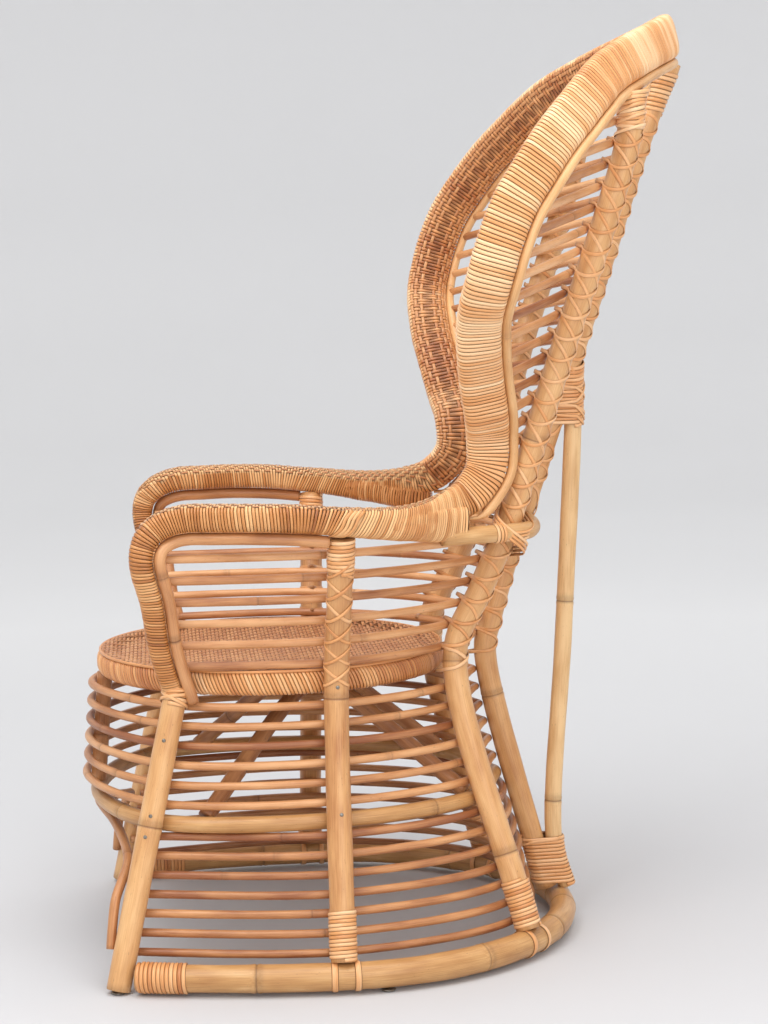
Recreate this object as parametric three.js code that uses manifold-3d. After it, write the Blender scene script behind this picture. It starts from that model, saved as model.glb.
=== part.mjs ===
// Peacock chair of bent cane and bamboo poles, with a wrapped hood rim and arms, a round woven seat and a
// drum-shaped base. Millimetres, +Z up. The sitter faces -Y and the sitter's left is +X.
// Everything is laid out about the middle of the seat, at floor level; the last lines move the whole chair
// so that the origin is the middle of its footprint.
import * as THREE from 'three';
import { mergeVertices } from 'three/addons/utils/BufferGeometryUtils.js';
import Module from 'manifold-3d';

// Driving sizes of the chair.
const seatHeight = 410;
const seatRadius = 245;
const baseRadius = 334;
const halfWidth = 358;
const backReach = 580;
const backRise = 873;

// Radii of the poles, rings, canes and rods.
const ringRadius = 18.5;
const frontLegRadius = 16;
const sidePostRadius = 16.5;
const stileRadius = 17;
const centreStileRadius = 16;
const braceRadius = 12.5;
const middleRingRadius = 11;
const archRadius = 11;
const seatBarRadius = 10;
const frontPostRadius = 11;
const hoopRadius = 12;
const armCaneRadius = 8;
const frontArchRadius = 6.5;
const rimPoleRadius = 6.5;
const rodRadius = 5.6;
const tieRadius = 2.5;

// Clearances. Pieces that touch keep the seat gap; a rod that crosses a pole keeps the rod gap.
const seatGap = 0.3;
const rodGap = 0.5;
const buttGap = 0.4;

// Glides under the feet and the bottom ring.
const glideRadius = 10;
const glideHeight = 4;

// Seat.
const seatRollHeight = 33;
const seatRollWidth = 26;
const weaveThickness = 8;
const weaveDip = 4;

// Wrapped band of the arms and of the hood rim.
const rimWidth = 60;
const rimThickness = 28;

// Flat strand of the bindings.
const strandWidth = 6.4;
const strandThickness = 2.4;
const strandSpace = 0.6;
const strandGap = 0.7;

// Counts.
const upperRodCount = 6;
const lowerRodCount = 7;
const armRodCount = 6;
const backRodCount = 19;
const bindingTurns = 8;
const braceBindingTurns = 9;
const loopSteps = 8;

// Heights on the base, as shares of the seat height.
const middleRingShare = 0.517;
const bindingTopShare = 0.262;

const up = new THREE.Vector3(0, 0, 1);
const across = new THREE.Vector3(1, 0, 0);
const full = 2 * Math.PI;

const ringLevel = glideHeight + seatGap + ringRadius;
const ringTop = ringLevel + ringRadius;
const middleRingLevel = middleRingShare * seatHeight;
const rollBottom = seatHeight - seatRollHeight;
const kneeLevel = seatHeight - seatRollHeight / 2;

// A small set of helpers for vectors and sampled courses.
function vec(x, y, z) {
  return new THREE.Vector3(x, y, z);
}

function mix(a, b, t) {
  return a.clone().lerp(b, t);
}

function polar(radius, degrees) {
  const angle = THREE.MathUtils.degToRad(degrees);
  return vec(radius * Math.cos(angle), radius * Math.sin(angle), 0);
}

function mirrored(point, side) {
  return vec(side * point.x, point.y, point.z);
}

// Points on a smooth curve through the given points, each span cut into equal steps, so that every given
// point is kept. The steps are one number for all spans, or a list with a number for each.
function smooth(points, steps) {
  const curve = new THREE.CatmullRomCurve3(points, false, 'centripetal');
  const spans = points.length - 1;
  const list = [];
  for (let span = 0; span < spans; span += 1) {
    const count = Array.isArray(steps) ? steps[span] : steps;
    for (let i = 0; i < count; i += 1) {
      list.push(curve.getPoint((span + i / count) / spans));
    }
  }
  list.push(points[spans].clone());
  return list;
}

function tangentAt(points, i) {
  const before = points[Math.max(i - 1, 0)];
  const after = points[Math.min(i + 1, points.length - 1)];
  return after.clone().sub(before).normalize();
}

// The part of a direction that is square to a tangent, at unit length.
function squareTo(direction, tangent) {
  return direction.clone().addScaledVector(tangent, -direction.dot(tangent)).normalize();
}

// The point of a course at a given height, on the straight stretch between its two nearest stations.
function atHeight(points, height) {
  for (let i = 1; i < points.length; i += 1) {
    const low = points[i - 1];
    const high = points[i];
    if (height <= high.z || i === points.length - 1) {
      return mix(low, high, (height - low.z) / (high.z - low.z));
    }
  }
  return points[0].clone();
}

// A path whose stations are given one by one: each has its centre and the two half-widths of its section as
// vectors, so that a section can taper and keep its facing.
class Course extends THREE.Curve {
  constructor(stations) {
    super();
    this.stations = stations;
  }

  getUtoTmapping(u) {
    return u;
  }

  getPoint(t) {
    const index = Math.round(t * (this.stations.length - 1));
    return this.stations[index].at.clone();
  }

  computeFrenetFrames() {
    const points = this.stations.map((station) => station.at);
    return {
      tangents: points.map((point, i) => tangentAt(points, i)),
      normals: this.stations.map((station) => station.out),
      binormals: this.stations.map((station) => station.over),
    };
  }
}

// Unit outlines: a round one of a few sides with a corner on its first axis, and the wrapped band's, whose
// front edge is rounded and whose rear edge is flat.
function roundOutline(sides) {
  const points = [];
  for (let i = 0; i < sides; i += 1) {
    const angle = full * i / sides;
    points.push(new THREE.Vector2(Math.cos(angle), Math.sin(angle)));
  }
  return new THREE.Shape(points);
}

const bandOutlineShares = [[-1, -0.45], [-0.62, -1], [1, -0.86], [1, 0.86], [-0.62, 1], [-1, 0.45]];
const bandOutline = new THREE.Shape(bandOutlineShares.map((pair) => new THREE.Vector2(pair[0], pair[1])));
const strandOutlineShares = [[1, 1], [-1, 1], [-1, -1], [1, -1]];
const strandOutline = new THREE.Shape(strandOutlineShares.map((pair) => new THREE.Vector2(pair[0], pair[1])));

function sweep(stations, outline) {
  return new THREE.ExtrudeGeometry(outline, {
    steps: stations.length - 1,
    bevelEnabled: false,
    extrudePath: new Course(stations),
  });
}

// Stations of a round pole: the corner of its section looks along facing(point, tangent). An end is cut
// square to the pole, or square to a direction given for it.
function poleStations(points, radius, facing, startCut = null, endCut = null) {
  return points.map((at, i) => {
    const cut = (i === 0 && startCut) || (i === points.length - 1 && endCut);
    const tangent = cut || tangentAt(points, i);
    const out = squareTo(facing(at, tangent), tangent);
    const over = tangent.clone().cross(out).normalize();
    return { at, out: out.multiplyScalar(radius), over: over.multiplyScalar(radius) };
  });
}

function pole(points, radius, facing, sides, startCut = null, endCut = null) {
  return sweep(poleStations(points, radius, facing, startCut, endCut), roundOutline(sides));
}

// A rod's section has a corner on the outside of its bend, in the plane that it lies in.
function outward(at, tangent) {
  const side = tangent.clone().cross(up);
  return side.dot(at) < 0 ? side.negate() : side;
}

// How far along a pole's own direction its end stops before the centre of a crossing round piece.
function buttDistance(direction, crossing, crossingRadius, ownRadius) {
  const lean = Math.abs(direction.dot(crossing));
  return crossingRadius * Math.sqrt(1 - lean * lean) + ownRadius * lean + seatGap;
}

// Plan of the bottom ring's centreline: an arc behind, and in front of it two sides that draw in to the
// front feet.
const ringCentreShare = 0.2275;
const footXShare = 0.868;
const footYShare = -0.665;
const ringCentreY = ringCentreShare * baseRadius;
const footX = footXShare * baseRadius;
const footY = footYShare * baseRadius;

function ringArc(degrees) {
  const point = polar(baseRadius, degrees);
  return vec(point.x, point.y + ringCentreY, ringLevel);
}

function ringSide(y, side) {
  const share = (ringCentreY - y) / (ringCentreY - footY);
  return vec(side * (baseRadius - (baseRadius - footX) * share * share), y, ringLevel);
}

const ringSideSteps = 7;
const ringArcSteps = 20;

function ringFront() {
  const leg = uprights.frontLeg.course;
  const lean = atHeight(leg, seatHeight / 2).sub(leg[0]).normalize();
  return atHeight(leg, ringTop).y + frontLegRadius / Math.sqrt(1 - lean.y * lean.y) + rodGap;
}

function baseRingPoints() {
  const start = ringFront();
  const points = [];
  for (let i = 0; i < ringSideSteps; i += 1) {
    points.push(ringSide(start + (ringCentreY - start) * i / ringSideSteps, 1));
  }
  for (let i = 0; i <= ringArcSteps; i += 1) {
    points.push(ringArc(180 * i / ringArcSteps));
  }
  for (let i = ringSideSteps - 1; i >= 0; i -= 1) {
    points.push(ringSide(start + (ringCentreY - start) * i / ringSideSteps, -1));
  }
  return points;
}

// The wrapped band runs from the front leg up round the arm to the neck, and on round the hood. Its outer
// front edge is given on the sitter's left, as shares of the half width, the back's reach and the back's
// rise above the seat, with the band's depth and thickness as shares of the rim's.
const armEdgeShares = [
  [0.672, -0.268, -0.0206, 0.46, 0.98], [0.735, -0.292, 0.0286, 0.48, 1.02],
  [0.804, -0.31, 0.1089, 0.5, 1.08],
  [0.848, -0.328, 0.1558, 0.52, 1.15], [0.86, -0.333, 0.1833, 0.53, 1.2], [0.86, -0.328, 0.2073, 0.54, 1.3],
  [0.86, -0.314, 0.2268, 0.57, 1.4], [0.857, -0.291, 0.2417, 0.58, 1.5], [0.857, -0.26, 0.2532, 0.59, 1.58],
  [0.862, -0.216, 0.2612, 0.6, 1.64], [0.88, -0.155, 0.2623, 0.6, 1.64], [0.913, -0.07, 0.2623, 0.6, 1.64],
  [0.918, 0.034, 0.26, 0.61, 1.64], [0.908, 0.11, 0.255, 0.61, 1.6], [0.888, 0.18, 0.252, 0.65, 1.5],
  [0.838, 0.245, 0.2497, 0.7, 1.35], [0.75, 0.318, 0.2515, 0.8, 1.2], [0.635, 0.381, 0.262, 0.74, 1.1],
  [0.553, 0.428, 0.2795, 0.85, 1],
];
const rimEdgeShares = [
  [0.522, 0.447, 0.299, 0.93, 1], [0.536, 0.448, 0.335, 0.98, 1], [0.615, 0.44, 0.366, 1, 1],
  [0.665, 0.429, 0.401, 1, 1], [0.723, 0.419, 0.435, 1, 1], [0.79, 0.41, 0.4696, 1, 1],
  [0.838, 0.405, 0.504, 1, 1], [0.911, 0.405, 0.5384, 1, 1], [0.966, 0.412, 0.5727, 1, 1],
  [0.989, 0.424, 0.607, 1, 1], [1, 0.444, 0.652, 1, 1], [0.994, 0.481, 0.7102, 1, 1],
  [0.966, 0.534, 0.764, 1, 1], [0.916, 0.591, 0.8144, 1, 1], [0.849, 0.645, 0.8534, 1, 1],
  [0.771, 0.697, 0.889, 1, 1], [0.67, 0.752, 0.9198, 1, 1], [0.52, 0.834, 0.9507, 1, 1],
  [0.363, 0.903, 0.9725, 1, 1], [0.173, 0.971, 0.992, 1, 1], [0, 1, 1, 1, 1],
];
const crownDown = vec(0, 0.2, -1).normalize();
const crownShare = 0.6;
const neckIndex = armEdgeShares.length - 1;

function edgePoint(row) {
  return vec(row[0] * halfWidth, row[1] * backReach, seatHeight + row[2] * backRise);
}

// The lowest stations of the band stand on the front leg, so they follow the seat, each less than the one
// below it.
const seatTieShares = [1, 0.75, 0.5, 0.25];
const widthOverSeatShare = 1.46122449;
const reachOverSeatShare = 2.36734694;

function bandEdge(row, i) {
  const tie = seatTieShares[i] || 0;
  const edge = edgePoint(row);
  const onSeat = vec(row[0] * widthOverSeatShare * seatRadius, row[1] * reachOverSeatShare * seatRadius, edge.z);
  return mix(edge, onSeat, tie);
}

// Each station of the band: the direction inward across the band lies in the chair's side view, square to
// the edge, and turns to straight down at the crown of the hood.
function bandStations(rows, points) {
  return rows.map((row, i) => {
    const edge = points[i];
    const tangent = i === 0 ? up.clone() : tangentAt(points, i);
    const nearCrown = Math.max(0, 1 - row[0] / crownShare) * (row[2] > 0.5 ? 1 : 0);
    const inSideView = tangent.clone().cross(across).normalize();
    const inward = squareTo(inSideView.lerp(crownDown, nearCrown * nearCrown), tangent);
    const outside = tangent.clone().cross(inward).normalize();
    if (outside.x * row[0] < 0 || (row[0] === 0 && outside.y < 0)) {
      outside.negate();
    }
    const depth = row[3] * rimWidth / 2;
    const thick = row[4] * rimThickness / 2;
    const at = edge.clone().addScaledVector(inward, depth).addScaledVector(outside, -thick);
    return { at, tangent, inward, outside, depth, thick };
  });
}

const edgeRows = armEdgeShares.concat(rimEdgeShares);
const crownMirror = edgePoint(rimEdgeShares[rimEdgeShares.length - 2]);
const edgePoints = edgeRows.map(bandEdge).concat([mirrored(crownMirror, -1)]);
const wholeBand = bandStations(edgeRows, edgePoints);
const armBand = wholeBand.slice(0, neckIndex + 1);
const neck = wholeBand[neckIndex];
const rimStart = { ...neck, at: neck.at.clone().addScaledVector(neck.tangent, seatGap) };
const rimBand = [rimStart].concat(wholeBand.slice(neckIndex + 1));

function mirroredStation(station, side) {
  return {
    at: mirrored(station.at, side),
    tangent: mirrored(station.tangent, side),
    inward: mirrored(station.inward, side),
    outside: mirrored(station.outside, side),
    depth: station.depth,
    thick: station.thick,
  };
}

// Section vectors of a band station, turned so that they and the walking direction are right-handed.
function bandSection(station, walking) {
  const out = station.inward.clone().multiplyScalar(station.depth);
  const over = station.outside.clone().multiplyScalar(station.thick);
  if (out.clone().cross(over).dot(walking) < 0) {
    over.negate();
  }
  return { at: station.at.clone(), out, over };
}

function bandGeometry(stations) {
  const points = stations.map((station) => station.at);
  return sweep(stations.map((station, i) => bandSection(station, tangentAt(points, i))), bandOutline);
}

// Courses of the upright poles on the sitter's left, from the floor or ring up.
const frontLegAngle = -31.1;
const sidePostAngle = 16.4;
const stileAngle = 59.4;
const stileFootAngle = 49.8;
const stileSetback = 22.7;
const centreSetback = 45;
const centreFootInset = 20;
const postStart = ringTop + seatGap;

const sidePostUpperShares = [0.78, 0.1345, 0.1134];
const stileUpperShares = [
  [0.405, 0.4845, 0.0997], [0.4135, 0.5448, 0.1924], [0.472, 0.6655, 0.4467], [0.556, 0.8259, 0.7904],
  [0.5754, 0.8741, 0.8935],
];
const centreUpperShares = [
  [0, 0.5414, 0.0263], [0, 0.5828, 0.1237], [0, 0.621, 0.1947], [0, 0.7724, 0.496], [0, 0.8534, 0.6564],
  [0, 0.9241, 0.7995], [0, 0.9603, 0.8625], [0, 0.995, 0.93],
];

function atSeat(angle, clear, level) {
  const point = polar(seatRadius + clear, angle);
  return vec(point.x, point.y, level);
}

const bandStart = armBand[0].at;
const legTop = vec(0, 0, bandStart.z - seatGap);
const legKnee = atSeat(frontLegAngle, seatGap + frontLegRadius, legTop.z);
const frontLegCourse = smooth([vec(footX, footY, glideHeight + seatGap), legKnee], 4);

// The side post meets the underside of the arm between two of the band's stations.
const sideTopShare = 0.61;
const sideTopInward = armBand[13].inward.clone().lerp(armBand[14].inward, sideTopShare).normalize();
const sideTopDepth = THREE.MathUtils.lerp(armBand[13].depth, armBand[14].depth, sideTopShare);
const sideTop = mix(armBand[13].at, armBand[14].at, sideTopShare)
  .addScaledVector(sideTopInward, sideTopDepth + 3 * rodGap);
const sidePostCourse = smooth([
  ringArc(-1).setZ(postStart),
  atSeat(sidePostAngle, seatGap + sidePostRadius, kneeLevel),
  vec(sidePostUpperShares[0] * halfWidth, sidePostUpperShares[1] * backReach,
    seatHeight + sidePostUpperShares[2] * backRise),
  sideTop,
], 4);

const stileFoot = ringArc(stileFootAngle).setZ(postStart);
const stileAims = [stileFoot, atSeat(stileAngle, stileSetback + stileRadius, seatHeight)]
  .concat(stileUpperShares.map(edgePoint));

const centreFoot = vec(0, ringCentreY + baseRadius - centreFootInset, postStart);
const centreKnee = vec(0, seatRadius + centreSetback + centreStileRadius, seatHeight - centreFootInset);
const centreAims = [centreFoot, centreKnee].concat(centreUpperShares.map(edgePoint));

// The cane pole along the rim's inner edge, on both sides and over the crown. It stands off a little where
// the band twists at the neck.
const neckSlackShares = [0.3, 0.1];
const crownSlackShares = [0.14, 0.06];

function rimPoleStations() {
  const run = wholeBand.slice(neckIndex);
  const left = run.map((station, i) => {
    const slack = ((neckSlackShares[i] || 0) + (crownSlackShares[run.length - 1 - i] || 0)) * rimPoleRadius;
    const away = station.depth + rimPoleRadius * Math.cos(Math.PI / 5) + 2.2 * rodGap + slack;
    const at = station.at.clone().addScaledVector(station.inward, away);
    return { ...station, at };
  });
  const right = left.slice(0, -1).reverse().map((station) => mirroredStation(station, -1));
  return left.concat(right);
}

const rimPole = rimPoleStations();
const rimPoleLeft = rimPole.slice(0, rimBand.length);

const crownSlackShare = 0.12;

// Where a stile's last stretch, drawn on, comes nearest to the rim's pole, it stops under the pole, with its
// end cut along the band.
function stoppedUnderRim(aims, radius) {
  const last = aims[aims.length - 1];
  const before = aims[aims.length - 2];
  const line = new THREE.Line3(before, last);
  const foot = new THREE.Vector3();
  let best = null;
  for (let i = 1; i < rimPole.length; i += 1) {
    for (const t of [0, 0.25, 0.5, 0.75]) {
      const cross = mix(rimPole[i - 1].at, rimPole[i].at, t);
      const distance = line.closestPointToPoint(cross, false, foot).distanceTo(cross);
      if (!best || distance < best.distance) {
        best = { distance, cross, inward: mix(rimPole[i - 1].inward, rimPole[i].inward, t).normalize() };
      }
    }
  }
  const direction = best.cross.clone().sub(before).normalize();
  const stop = (rimPoleRadius + seatGap + crownSlackShare * radius) / Math.abs(direction.dot(best.inward));
  const end = best.cross.clone().addScaledVector(direction, -stop);
  return { aims: aims.slice(0, -1).concat([end]), cut: best.inward.clone().negate() };
}

const stileTop = stoppedUnderRim(stileAims, stileRadius);
const centreTop = stoppedUnderRim(centreAims, centreStileRadius);
const stileCourse = smooth(stileTop.aims, [5, 3, 3, 4, 5, 2]);
const centreCourse = smooth(centreTop.aims, [4, 2, 2, 2, 4, 3, 3, 2, 1]);

// Plan directions in which rods pass the uprights: from the pole towards the inside of the chair.
const legFacing = polar(-1, frontLegAngle);
const sideFacing = vec(-1, 0, 0);
const stileFacing = polar(-1, stileAngle - 2);
const centreFacing = vec(0, -1, 0);

const uprights = {
  frontLeg: { course: frontLegCourse, radius: frontLegRadius, facing: legFacing, bound: false, endCut: up },
  sidePost: {
    course: sidePostCourse,
    radius: sidePostRadius,
    facing: sideFacing,
    bound: true,
    endCut: sideTopInward.clone().negate(),
  },
  stile: { course: stileCourse, radius: stileRadius, facing: stileFacing, bound: true, endCut: stileTop.cut },
  centre: {
    course: centreCourse,
    radius: centreStileRadius,
    facing: centreFacing,
    bound: true,
    endCut: centreTop.cut,
  },
};
const bindingTop = bindingTopShare * seatHeight;

// Where a rod or ring of a given radius passes an upright at a level: beside it, on the inside.
function passLevel(upright, level, radius) {
  const centre = atHeight(upright.course, level);
  const step = radius;
  const direction = atHeight(upright.course, level + step).sub(atHeight(upright.course, level - step));
  direction.normalize();
  const lean = upright.facing.dot(direction);
  const wrap = upright.bound && level < bindingTop + step ? strandThickness + strandGap : 0;
  const away = (upright.radius + radius + rodGap + wrap) / Math.sqrt(1 - lean * lean);
  return centre.addScaledVector(upright.facing, away);
}

// The post between the middle ring and the seat at the front leans in as it rises.
const frontPostFootShare = 1.01;
const frontPostTopShare = 0.955;
const frontPostCourse = [
  vec(0, -frontPostFootShare * seatRadius, middleRingLevel + middleRingRadius + seatGap),
  vec(0, -frontPostTopShare * seatRadius, rollBottom - seatGap),
];

// A whole loop round the base at one level, butted at the rear middle.
function loopPoints(level, radius, frontY) {
  const leg = passLevel(uprights.frontLeg, level, radius);
  const side = passLevel(uprights.sidePost, level, radius);
  const stile = passLevel(uprights.stile, level, radius);
  const centre = passLevel(uprights.centre, level, radius);
  const half = [vec(0, frontY, level), leg, side, stile, centre];
  const round = half.slice(0, 4).reverse().concat(half.slice(1, 4).map((point) => mirrored(point, -1)));
  const start = centre.clone();
  const end = centre.clone();
  start.x = buttGap / 2;
  end.x = -buttGap / 2;
  return smooth([start].concat(round, [end]), 3);
}

function rodFrame(points, radius, sides) {
  return pole(points, radius, outward, sides);
}

// Booleans on closed geometries.
const wasm = await Module();
wasm.setup();

function toSolid(geometry) {
  const bare = geometry.clone();
  bare.deleteAttribute('normal');
  bare.deleteAttribute('uv');
  const merged = mergeVertices(bare, seatGap * seatGap * seatGap);
  return new wasm.Manifold(new wasm.Mesh({
    numProp: 3,
    vertProperties: new Float32Array(merged.attributes.position.array),
    triVerts: new Uint32Array(merged.index.array),
  }));
}

function fromSolid(solid) {
  const mesh = solid.getMesh();
  const geometry = new THREE.BufferGeometry();
  geometry.setAttribute('position', new THREE.BufferAttribute(mesh.vertProperties, 3));
  geometry.setIndex(new THREE.BufferAttribute(mesh.triVerts, 1));
  geometry.computeVertexNormals();
  return geometry;
}

function joined(geometries) {
  let solid = toSolid(geometries[0]);
  for (const geometry of geometries.slice(1)) {
    solid = solid.add(toSolid(geometry));
  }
  return fromSolid(solid);
}

// A thin tie that runs through a set of rods where they pass an upright, and holds them as one grille.
function tie(points) {
  const first = points[0];
  const last = points[points.length - 1];
  const tail = first.clone().sub(points[1]).setLength(rodRadius / 2);
  const head = last.clone().sub(points[points.length - 2]).setLength(rodRadius / 2);
  const run = [first.clone().add(tail)].concat(points.slice(1, -1), [last.clone().add(head)]);
  return pole(run, tieRadius, () => across, 4);
}

function tiesThrough(levels) {
  return [1, -1].map((side) => {
    return tie(levels.map((level) => mirrored(passLevel(uprights.stile, level, rodRadius), side)));
  });
}

function spread(low, high, count) {
  const list = [];
  for (let i = 0; i < count; i += 1) {
    list.push(low + (high - low) * i / (count - 1));
  }
  return list;
}

const middleTop = middleRingLevel + middleRingRadius;
const upperClearShare = 0.09;
const upperSpan = rollBottom - middleTop;
const upperLevels = spread(
  middleTop + upperClearShare * upperSpan,
  rollBottom - upperClearShare * upperSpan,
  upperRodCount,
);
const lowerLevels = spread(
  ringTop + rodRadius + rodGap,
  middleRingLevel - middleRingRadius - rodRadius - rodGap,
  lowerRodCount,
);

function loopFront(level) {
  return atHeight(frontPostCourse, level).y - frontPostRadius - rodRadius - 1.5 * rodGap;
}

function upperBaseRods() {
  const rods = upperLevels.map((level) => {
    return rodFrame(loopPoints(level, rodRadius, loopFront(level)), rodRadius, 5);
  });
  return joined(rods.concat(tiesThrough(upperLevels)));
}

const rodEndOverrun = 14;

function lowerRodPoints(level) {
  const leg = passLevel(uprights.frontLeg, level, rodRadius);
  const side = passLevel(uprights.sidePost, level, rodRadius);
  const stile = passLevel(uprights.stile, level, rodRadius);
  const centre = passLevel(uprights.centre, level, rodRadius);
  const overrun = leg.clone().sub(side).setLength(rodEndOverrun);
  const end = leg.clone().add(overrun).addScaledVector(legFacing, rodGap);
  const left = [end, leg, side, stile];
  const right = left.map((point) => mirrored(point, -1)).reverse();
  return smooth(left.concat([centre], right), [1, 3, 3, 3, 3, 3, 3, 1]);
}

function lowerBaseRods() {
  const rods = lowerLevels.map((level) => rodFrame(lowerRodPoints(level), rodRadius, 5));
  return joined(rods.concat(tiesThrough(lowerLevels)));
}

// Rods between the seat and the arms, which run on round the back.
const armRodFirst = seatHeight + rodRadius + rodGap + strandThickness;
const armRodLastShare = 0.181;
const armLevels = spread(armRodFirst, seatHeight + armRodLastShare * backRise, armRodCount);

// The cane under the arm lies on the inner side of the band, from the side post round the front corner and
// down beside the leg.
const caneLeanShare = 1.04;
const caneShift = armCaneRadius * 0.5;

function armCanePoints() {
  const legEndLevel = rollBottom - rodRadius;
  const below = atHeight(frontLegCourse, legEndLevel);
  const beside = (frontLegRadius + armCaneRadius + rodGap) * caneLeanShare;
  const start = vec(below.x + caneShift, below.y + beside, legEndLevel);
  const kept = armBand.filter((station, i) => i < 15 && i !== 5 && i !== 7);
  const along = kept.map((station) => {
    const away = station.depth + armCaneRadius + seatGap;
    const at = station.at.clone().addScaledVector(station.inward, away);
    return at.addScaledVector(station.outside, caneShift);
  });
  along[0].y = atHeight(frontLegCourse, along[0].z).y + beside;
  const stop = sidePostCourse[sidePostCourse.length - 1];
  const last = along.pop();
  const before = along[along.length - 1];
  const share = (stop.y - sidePostRadius - rodGap - before.y) / (last.y - before.y);
  return [start].concat(along, [mix(before, last, share)]);
}

const caneCourse = armCanePoints();

function armRodPoints(level) {
  const cane = atHeight(caneCourse.slice(0, 6), level);
  const inside = vec(cane.x - (armCaneRadius + rodRadius + rodGap) * caneLeanShare, cane.y, level);
  const side = passLevel(uprights.sidePost, level, rodRadius);
  const stile = passLevel(uprights.stile, level, rodRadius);
  const centre = passLevel(uprights.centre, level, rodRadius);
  const start = inside.clone();
  start.y -= rodRadius;
  const left = [start, inside, side, stile];
  const right = left.map((point) => mirrored(point, -1)).reverse();
  return smooth(left.concat([centre], right), [1, 3, 3, 3, 3, 3, 3, 1]);
}

function armRods() {
  const rods = armLevels.map((level) => rodFrame(armRodPoints(level), rodRadius, 5));
  return joined(rods.concat(tiesThrough(armLevels)));
}

function rimPoleGeometry() {
  const points = rimPole.map((station) => station.at);
  return pole(points, rimPoleRadius, (at) => rimPole[points.indexOf(at)].inward, 5);
}

function rimGeometry() {
  const right = rimBand.slice(0, -1).reverse().map((station) => mirroredStation(station, -1));
  return bandGeometry(rimBand.concat(right));
}

// Back rods lie in planes square to the leaning stiles.
const backRodSlope = 0.3057;
const backRodFirstShare = 0.244;
const backRodLastShare = 0.825;

// The point of a course where it meets a back rod's plane, and the course's direction there.
function onPlane(points, planeHeight) {
  const lift = (point) => point.z - backRodSlope * point.y - planeHeight;
  for (let i = 1; i < points.length; i += 1) {
    const low = lift(points[i - 1]);
    const high = lift(points[i]);
    if (low <= 0 && high >= 0) {
      const at = mix(points[i - 1], points[i], low / (low - high));
      return { at, index: i, along: points[i].clone().sub(points[i - 1]).normalize() };
    }
  }
  return null;
}

const rodPlaneUp = vec(0, -backRodSlope, 1).normalize();
const backLean = vec(0, 0.33, 1).normalize();
const braceMeetShare = 0.353;
const braceMeetLevel = seatHeight + braceMeetShare * backRise;
const turnLength = strandWidth + strandSpace;
const braceBindingLow = braceMeetLevel - strandWidth / 2;
const braceBindingHigh = braceBindingLow + braceBindingTurns * turnLength;

// A pass point beside a pole in the rod's plane, for a rod that runs along a direction there.
function passBeside(meeting, facing, along, distance) {
  const least = along.clone().cross(meeting.along).normalize();
  return meeting.at.clone().addScaledVector(facing, distance / Math.abs(least.dot(facing)));
}

function inFront(along) {
  const facing = along.clone().cross(rodPlaneUp).normalize();
  return facing.y > 0 ? facing.negate() : facing;
}

function backRodPoints(planeHeight) {
  const stile = onPlane(stileCourse, planeHeight);
  const centre = onPlane(centreCourse, planeHeight);
  const rim = onPlane(rimPoleLeft.map((station) => station.at), planeHeight);
  const reach = 3 * rodRadius;
  const wrapped = centre.at.z > braceBindingLow - reach && centre.at.z < braceBindingHigh + reach;
  const wrap = wrapped ? strandThickness + strandGap : 0;
  const centreDistance = centreStileRadius + rodRadius + rodGap + wrap;
  const centrePass = passBeside(centre, inFront(across), across, centreDistance);
  const chord = centrePass.clone().sub(rim.at).normalize();
  const stileDistance = stileRadius + rodRadius + rodGap + 1.7 * seatGap;
  const stilePass = passBeside(stile, inFront(chord), chord, stileDistance);
  const from = rim.at.clone().addScaledVector(rimPoleLeft[rim.index].inward, seatGap);
  const left = [from, stilePass];
  const right = left.map((point) => mirrored(point, -1)).reverse();
  const points = smooth(left.concat([centrePass], right), [2, 4, 4, 2]);
  const leave = points[1].clone().sub(from).normalize();
  const lean = Math.abs(leave.dot(rim.along));
  const rimClear = rodGap * (0.6 + 2 * lean * lean);
  const stop = (rimPoleRadius + rodRadius * lean + rimClear) / Math.sqrt(1 - lean * lean);
  points[0] = from.clone().addScaledVector(leave, stop);
  points[points.length - 1] = mirrored(points[0], -1);
  return points;
}

function planeOfCentre(share) {
  const at = atHeight(stileCourse, seatHeight + share * backRise);
  return at.z - backRodSlope * at.y;
}

function backRods() {
  return spread(backRodFirstShare, backRodLastShare, backRodCount).map((share) => {
    return pole(backRodPoints(planeOfCentre(share)), rodRadius, (at, tangent) => {
      const side = tangent.clone().cross(backLean);
      return side.y < 0 ? side.negate() : side;
    }, 5);
  });
}

// Uprights, each cut level at its foot.
function uprightPole(name, side) {
  const piece = uprights[name];
  const facing = mirrored(piece.facing, side);
  const run = piece.course.map((point) => mirrored(point, side));
  return pole(run, piece.radius, () => facing, 8, up, mirrored(piece.endCut, side));
}

// The brace stands on the ring behind the centre leg. Where it meets the centre stile it goes on straight up,
// with its end cut along the stile.
const braceMeetAlong = atHeight(centreCourse, braceBindingHigh)
  .sub(atHeight(centreCourse, braceMeetLevel)).normalize();

function bracePoints() {
  const beside = (centreStileRadius + braceRadius + rodGap) * caneLeanShare;
  const foot = vec(0, centreFoot.y + beside, postStart);
  const first = atHeight(centreCourse, bindingTop);
  first.y += beside;
  const meet = atHeight(centreCourse, braceMeetLevel);
  meet.y += (centreStileRadius + rodGap) / braceMeetAlong.z + braceRadius;
  const end = meet.clone();
  end.z += braceRadius * braceMeetAlong.z / braceMeetAlong.y;
  return [foot, first, mix(first, meet, 0.5), meet, end];
}

function brace() {
  const stations = poleStations(bracePoints(), braceRadius, () => centreFacing, up, up);
  const cut = stations[stations.length - 1];
  cut.out.z -= braceRadius * braceMeetAlong.z / braceMeetAlong.y;
  return sweep(stations, roundOutline(8));
}

// The poles that run back from the arms round the side stiles to the centre stile.
const hoopLevelShare = 0.1936;
const hoopLevel = seatHeight + hoopLevelShare * backRise;
const hoopStartShares = [0.609, 0.381];
const hoopBendShare = 0.27;

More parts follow.
